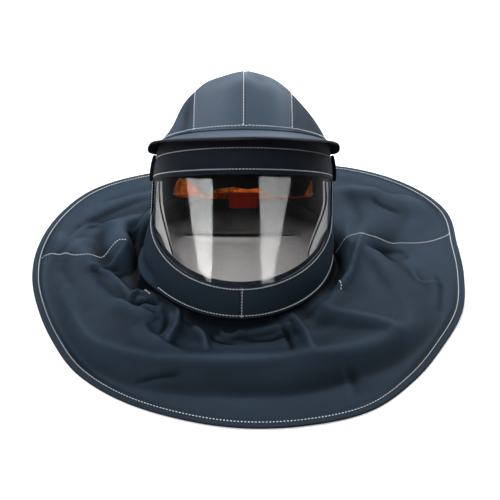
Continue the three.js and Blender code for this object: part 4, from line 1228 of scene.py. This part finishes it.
hemTurns = np.linspace(-180, 180, 1400)
capeRow(hemTurns, hemSharePlace(hemTurns, cape["hemRow"]), "cape")
for shoulder, turn, start in ((cape["shoulderLeft"], 1, 0.21), (cape["shoulderRight"], -1, 0.07)):
    share = np.linspace(start, hemSharePlace(np.array(float(shoulder)), cape["hemRow"]), 260)
    beside = turn * np.degrees(cloth["seamRow"] / lerp(head["halfWidth"], cape["width"] / 2, share))
    capeRow(shoulder + seamShift(shoulder, share) + beside, share, "cape")
for bit in cape["stitchBits"]:
    place = np.array(bit)
    way = np.linspace(0, len(bit) - 1, 30)
    at = np.arange(len(bit))
    capeRow(np.interp(way, at, place[:, 0]), np.interp(way, at, place[:, 1]), "cape")

print("neck seal and lining")
seal = {
    "level": 0.55, "wall": 1.5, "holeHalfWidth": 86, "holeHalfLength": 37, "holeBack": 10,
    "frontZ": 0.255, "backZ": 0.14,
    # two sets of slack folds: height, count round the hole, phase, turn along the way out
    "folds": [(1.1, 7, 0, 5), (0.8, 13, 60, -3)],
    # bead at the hole and the dip beside it: height, place, width
    "bead": (1.3, 0.035, 0.03), "dip": (0.6, 0.1, 0.03),
    # painted tone: painted shadow from an azimuth on, painted highlight along the rim in front
    "sealShadowFrom": 66, "sealShadowSpan": 60, "rimLight": 0.4, "rimAt": 0.04,
    "liningWave": 1.2, "liningAbove": 0.12, "liningTop": 1.12,
}


def sealPoint(azimuth, share):
    # Straight from the neck hole's ellipse to the head's wall, with sines for slack folds in between
    rim = headPoint(azimuth, seal["level"]) - outward(azimuth) * (3 * cloth["gap"] + seal["wall"])
    s, c = sinCos(azimuth)
    hole = np.stack([
        head["x"] + seal["holeHalfWidth"] * s,
        head["y"] + seal["holeBack"] - seal["holeHalfLength"] * c,
        head["height"] * lerp(seal["backZ"], seal["frontZ"], (1 + c) / 2),
    ], -1)
    point = lerp(hole, rim, share[..., None])
    free = np.sin(np.pi * np.clip((share - 0.12) / 0.82, 0, 1))
    folds = sum(
        height * np.sin(np.radians(azimuth * count + phase) + turn * share)
        for height, count, phase, turn in seal["folds"]
    )
    (bead, beadAt, beadWidth), (dip, dipAt, dipWidth) = seal["bead"], seal["dip"]
    rolled = bead * bell(share - beadAt, beadWidth) - dip * bell(share - dipAt, dipWidth)
    point[..., 2] += free * folds + rolled
    return point


azimuth, share = np.meshgrid(
    np.linspace(-180, 180, 241)[:-1], np.concatenate([[0, 0.008, 0.02], np.linspace(0.035, 1, 60)])
)
top = sealPoint(azimuth, share)
bottom = top - np.array([0, 0, seal["wall"]])
sealPiece = shellPiece("neckSeal", bottom, top, liningCloth, "grey_lining", ["neck_seal"], True, top[..., :2])
# painted shadow over the seal's back half, and a painted highlight along the hole's rim in front
sealShadow = -smooth((np.abs(azimuth) - seal["sealShadowFrom"]) / seal["sealShadowSpan"])
sealShadow = sealShadow * lerp(0.5, 1.1, smooth((share - 0.2) / 0.6))
lightRim = seal["rimLight"] * bell(share - seal["rimAt"], 0.03) * smooth((90 - np.abs(azimuth)) / 20)
keepPaintedShade(sealPiece, np.clip(sealShadow + lightRim, -1, seal["rimLight"]))


def liningRelief(azimuth, level):
    # Inwards only, so that it clears the back panel: two sines round the back, gone at its edges
    free = smooth((75 - np.abs(azimuth - 180)) / 15)
    swell = seal["liningWave"] + np.sin(np.radians(azimuth * 8))
    swell = swell + 0.7 * np.sin(np.radians(azimuth * 15 + 90 * level))
    return np.minimum(0, np.minimum(0, backRelief(azimuth, level)) - free * swell)


outer, inner = wall(
    headPoint, backAngles, edgeSpread(seal["level"] + seal["liningAbove"], seal["liningTop"], 24, 0.02),
    -cloth["gap"] - seal["wall"], -cloth["gap"], liningRelief,
)
liningPiece = shellPiece("backLining", outer, inner, backLiningShadedCloth, "grey_lining", ["lining"])

print("head harness")
harness = {
    "halfWidth": 96, "halfLength": 100, "height": 30, "wall": 2.4, "centreZ": 0.463, "away": (-4, -8),
    "puff": 0.5, "bandRow": 3.0, "rowTurns": (84, 276),
    # lower edge of the black sheet over the band's front, a painted shadow inside the hood: azimuth, height
    "shadeSheetEdge": [
        [-90, 2], [-80, -3], [-70, 3], [-62, 8], [-52, 5], [-42, -3], [-36, -12], [-31, -18], [-26, -19],
        [-22, -11], [-8, -8], [4, -11], [12, -9], [17, -18], [30, -20], [48, -20], [58, -17], [64, -6],
        [70, 4], [78, 12], [84, 16],
    ],
    "shadeSheetTop": 19, "shadeSheetOut": 4.1, "shadeSheetHalf": 0.8,
    # the nape pad lies inside the band: distance of its back, and of its front at the edges
    "padWall": 7, "padDrop": 14, "padHalfAngle": 14, "padBack": 3.2, "padRound": 0.6, "padFront": 4.4,
    "padSpare": 1.4, "channel": 0.35, "channels": (1 / 3, 2 / 3), "channelWidth": 0.03,
    "strapWidth": 24, "strapWall": 2, "strapLeanIn": 0.25, "strapDrop": 6.6, "strapEnds": (-4, 184),
}
awayX, awayY = harness["away"]
bandCentre = np.array([crownX + awayX, head["y"] + awayY, harness["centreZ"] * head["height"]])


def bandPoint(azimuth, height):
    # An ellipse in a plane that leans with the crown seam, raised along the plane's normal
    s, c = sinCos(azimuth)
    flat = bandCentre - crownBack * (harness["halfLength"] * c)[..., None]
    return flat + np.array([1, 0, 0]) * (harness["halfWidth"] * s)[..., None] + crownUp * height[..., None]


def bandNormals(azimuth, height):
    return normalsOn(bandPoint, azimuth, height, 1)


azimuth, height = np.meshgrid(
    np.linspace(0, 360, 145)[:-1], edgeSpread(-harness["height"] / 2, harness["height"] / 2, 9, 1.2)
)
weight = edgeWeight(len(height))[:, None]
puff = harness["puff"] * np.sin(np.pi * (height / harness["height"] + 0.5))
points, normals = bandPoint(azimuth, height), bandNormals(azimuth, height)
middle, half = harness["wall"] / 2, harness["wall"] / 2 * weight
outer = points + normals * (middle + half + puff * 0.4)[..., None]
inner = points + normals * (middle - half - puff * 0.3)[..., None]
bandPiece = shellPiece("sweatBand", outer, inner, sweatbandCloth, "orange_sweatband", ["headband"], True)
for edge in (-1, 1):
    turns = np.linspace(*harness["rowTurns"], 300)
    heights = np.full(300, edge * (harness["height"] / 2 - harness["bandRow"]))
    n = bandNormals(turns, heights)
    stitch(bandPoint(turns, heights) + n * (harness["wall"] + 0.1), n, "harness")

# a black sheet over the band's front: painted shadow inside the hood
azimuth, heightShare = np.meshgrid(edgeSpread(-90, 84, 150, 0.8), edgeSpread(0, 1, 12, 0.05))
lowEdge = np.interp(azimuth, *np.array(harness["shadeSheetEdge"]).T)
height = lerp(lowEdge, harness["shadeSheetTop"], heightShare)
points, normals = bandPoint(azimuth, height), bandNormals(azimuth, height)
half = harness["shadeSheetHalf"] * edgeWeights(*height.shape)
outer = points + normals * (harness["shadeSheetOut"] + half)[..., None]
inner = points + normals * (harness["shadeSheetOut"] - half)[..., None]
shellPiece("bandShadeSheet", outer, inner, shadeSheetCloth, "black_trim")

turns = edgeSpread(180 - harness["padHalfAngle"], 180 + harness["padHalfAngle"], 30, 0.7)
azimuth, height = np.meshgrid(
    turns, edgeSpread(-harness["height"] / 2 - harness["padDrop"], harness["height"] / 2, 22, 1.6)
)
points, normals = bandPoint(azimuth, height), bandNormals(azimuth, height)
rowShare = np.linspace(0, 1, len(height))[:, None]
columnShare = np.linspace(0, 1, len(turns))[None, :]
rounded = np.sqrt(np.clip(np.sin(np.pi * rowShare) * np.sin(np.pi * columnShare), 0, 1))
firstChannel, lastChannel = (
    harness["channel"] * bell(columnShare - place, harness["channelWidth"]) for place in harness["channels"]
)
back = -harness["padBack"] - harness["padRound"] * (1 - rounded)
fullness = (harness["padWall"] - harness["padSpare"]) * rounded * (1 - firstChannel - lastChannel)
front = -harness["padFront"] - fullness
outer, inner = points + normals * back[..., None], points + normals * front[..., None]
padPiece = shellPiece("napePad", outer, inner, padCloth, "dark_pad", ["nape_pad"])

strapUnder = cloth["wall"] + harness["strapDrop"] + harness["strapWall"]
strapTop = crownPoint(np.zeros(1), np.zeros(1))[0] - crownUp * strapUnder
strapRise = strapTop - bandCentre
strapAcross = unit(np.cross([1, 0, 0], strapRise))
strapReach = harness["halfWidth"] + harness["wall"] + 4 * cloth["gap"]


def strapPoint(angle, grow):
    # An arch from side to side over the head, drawn in halfway up by sin squared
    s, c = sinCos(angle)
    wide = (strapReach + grow) * c * (1 - harness["strapLeanIn"] * s ** 2)
    raised = strapRise * s[..., None] + unit(strapRise) * (grow * s)[..., None]
    return bandCentre + np.array([1, 0, 0]) * wide[..., None] + raised


strapShifts = edgeSpread(-0.5, 0.5, 8, 0.05) * harness["strapWidth"]
shift, angle = np.meshgrid(strapShifts, np.linspace(*harness["strapEnds"], 100), indexing="ij")
weight = edgeWeight(len(shift))[:, None] * np.ones_like(shift)
sides = []
for side in (1, 0):
    grow = lerp((1 - weight) / 2, 1 - (1 - weight) / 2, side) * harness["strapWall"]
    sides.append(strapPoint(angle, grow) + strapAcross * shift[..., None])
shellPiece("crownStrap", *sides, trimCloth, "black_trim", ["crown_strap"])

print("stitches")
stitches = {
    "pitch": 4.6, "length": 2.7, "radius": 0.6,
    "slots": {
        "crown": "crown_cloth", "bands": "cape_cloth", "bindings": "black_trim", "cape": "cape_cloth",
        "harness": "orange_sweatband",
    },
}


def stitchTemplate():
    # A short rounded bar along x: rings of six points whose radius is the root of 1 - x cubed
    places = np.array([-1, -0.82, -0.3, 0.3, 0.82, 1.0])
    radii = np.sqrt(1 - np.abs(places) ** 3)
    turns = np.radians(np.arange(6) * 60)
    ring = np.stack([np.zeros(6), np.cos(turns), np.sin(turns)], -1)
    points = ring[None] * radii[:, None, None] * stitches["radius"]
    points[..., 0] += places[:, None] * stitches["length"] / 2
    body = gridFaces(4, 6, True)[0]
    tips = np.array([[-stitches["length"] / 2, 0, 0], [stitches["length"] / 2, 0, 0]])
    points = np.concatenate([points[1:5].reshape(-1, 3), tips])
    k = np.arange(6)
    low = np.stack([(k + 1) % 6, k, np.full(6, 24)], -1)
    high = np.stack([18 + k, 18 + (k + 1) % 6, np.full(6, 25)], -1)
    return points, body, np.concatenate([low, high])


def alongPath(at, length, path):
    return np.stack([np.interp(at, length, path[:, k]) for k in range(3)], -1)


def makeStitches():
    # One mesh for each group: the template at even steps of length, turned into the row's own axes
    template, body, tips = stitchTemplate()
    for group, slotName in stitches["slots"].items():
        places, along, ups = [], [], []
        for key, path, normals in stitchRows:
            if key != group or len(path) < 2:
                continue
            length = np.append(0, np.cumsum(np.linalg.norm(np.diff(path, axis=0), axis=1)))
            at = np.arange(0.5 * stitches["pitch"], length[-1], stitches["pitch"])
            places.append(alongPath(at, length, path))
            along.append(unit(alongPath(at + 0.5, length, path) - alongPath(at - 0.5, length, path)))
            ups.append(unit(alongPath(at, length, normals)))
        places, along, ups = (np.concatenate(part) for part in (places, along, ups))
        across = unit(np.cross(ups, along))
        ups = np.cross(along, across)
        axes = np.stack([along, across, ups], 1)
        points = (places[:, None] + np.einsum("tk,nkj->ntj", template, axes)).reshape(-1, 3)
        shift = np.arange(len(places))[:, None, None] * len(template)
        faces = [(body[None] + shift).reshape(-1, 4), (tips[None] + shift).reshape(-1, 3)]
        meshPiece(group + "Stitches", points, faces, threadLook, sharp=80)
        print(group, len(places), "stitches")


makeStitches()

print("studio")
studio = {
    "world": 0.16, "floor": (0.94, 0.94, 0.94), "bounce": (0.12, 0.12, 0.12), "cardGlow": 95.0,
    "floorReach": 1.4, "floorZ": -0.0003,
    # place, aim, width, height, power
    "lights": [
        [(-1.2, 0.95, 1.5), (0, 0, 0.05), 0.7, 0.7, 36],
        [(1.25, 0.95, 1.2), (0, 0, 0.05), 0.7, 0.7, 36],
        [(0.15, 1.5, 1.4), (0, 0.1, 0.05), 0.8, 0.8, 26],
        [(-0.6, -1.2, 1.8), (0, 0, 0.2), 0.8, 0.8, 32],
    ],
    # bright cards that only the window shows, corners in millimetres
    "cards": [
        [(-264, -137, 164), (-150, -253, 190), (-145, -256, 20), (-199, -219, 23)],
        [(68, -277, 197), (208, -184, 170), (134, -248, 22), (88, -270, 18)],
    ],
    "cardTones": [(0.25, 1.1, 1.5, 1.3), (0.7, 0.4, 0.9, 1.2)],  # at the corners
}
floorMesh = bpy.data.meshes.new("floor")
floorCorners = [
    (x * studio["floorReach"], y * studio["floorReach"], studio["floorZ"])
    for x, y in ((-1, -1), (1, -1), (1, 1), (-1, 1))
]
floorMesh.from_pydata(floorCorners, [], [(0, 1, 2, 3)])
floor = addObject("floor", floorMesh)
floorLook, floorTree, floorShader = newMaterial("paleFloor", studio["floor"], 0.9, specular=0.0)
floorRays = addNode(floorTree, "ShaderNodeLightPath")
floorTone = addNode(floorTree, "ShaderNodeMix", [(0, floorRays.outputs["Is Camera Ray"])], data_type="RGBA")
floorTone.inputs[6].default_value = (*studio["bounce"], 1)  # a dark room's table for the object
floorTone.inputs[7].default_value = (*studio["floor"], 1)
floorTree.links.new(floorTone.outputs[2], floorShader.inputs["Base Color"])
floorMesh.materials.append(floorLook)
floor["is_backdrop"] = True
world = bpy.data.worlds.new("softRoom")
world.use_nodes = True
world.node_tree.nodes["Background"].inputs[0].default_value = (1, 1, 1, 1)
worldRays = addNode(world.node_tree, "ShaderNodeLightPath")
worldTone = addNode(world.node_tree, "ShaderNodeMapRange", [("Value", worldRays.outputs["Is Camera Ray"])])
worldTone.inputs["To Min"].default_value = studio["world"]  # what lights the object
worldTone.inputs["To Max"].default_value = 1.0  # what the camera sees past the floor
world.node_tree.links.new(worldTone.outputs[0], world.node_tree.nodes["Background"].inputs[1])
bpy.context.scene.world = world


def areaLight(name, place, aim, width, height, power):
    light = bpy.data.lights.new(name, "AREA")
    light.shape = "RECTANGLE"
    light.size, light.size_y, light.energy = width, height, power
    lamp = addObject(name, light)
    lamp.location = place
    lamp.rotation_euler = (Vector(aim) - Vector(place)).to_track_quat("-Z", "Y").to_euler()
    lamp.visible_camera = False


for k, (place, aim, width, height, power) in enumerate(studio["lights"]):
    areaLight(f"softLight{k}", place, aim, width, height, power)
cardLook = bpy.data.materials.new("cardGlow")
cardLook.use_nodes = True
cardShader = cardLook.node_tree.nodes["Principled BSDF"]
cardShader.inputs["Base Color"].default_value = (0, 0, 0, 1)
cardShader.inputs["Emission Strength"].default_value = studio["cardGlow"]
cardTone = addNode(cardLook.node_tree, "ShaderNodeAttribute", attribute_name="tone")
cardLook.node_tree.links.new(cardTone.outputs["Color"], cardShader.inputs["Emission Color"])
shownIn = bpy.data.collections.new("shownInWindow")
shownIn.objects.link(windowPiece)
for k, corners in enumerate(studio["cards"]):
    cardMesh = bpy.data.meshes.new(f"card{k}")
    cardMesh.from_pydata(np.array(corners) * metre, [], [(0, 1, 2, 3)])
    cardMesh.materials.append(cardLook)
    toneLayer = cardMesh.attributes.new("tone", "FLOAT_COLOR", "POINT")
    toneLayer.data.foreach_set("color", np.repeat(studio["cardTones"][k], 4).astype(np.float32))
    card = addObject(f"card{k}", cardMesh)
    card.light_linking.receiver_collection = shownIn
    card.visible_camera = card.visible_diffuse = card.visible_shadow = card.visible_transmission = False
    card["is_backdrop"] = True

lens = {"target": (0.003, -0.0156, 0.06), "distance": 1.75, "elevation": 34, "length": 85, "sensor": 36}
camera = bpy.data.cameras.new("camera")
camera.lens, camera.sensor_width = lens["length"], lens["sensor"]
cameraObject = addObject("camera", camera)
rise = math.radians(lens["elevation"])
target = Vector(lens["target"])
cameraObject.location = target + lens["distance"] * Vector((0, -math.cos(rise), math.sin(rise)))
cameraObject.rotation_euler = (math.pi / 2 - rise, 0, 0)
bpy.context.scene.camera = cameraObject
bpy.context.scene.view_settings.view_transform = "Standard"

low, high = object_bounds()
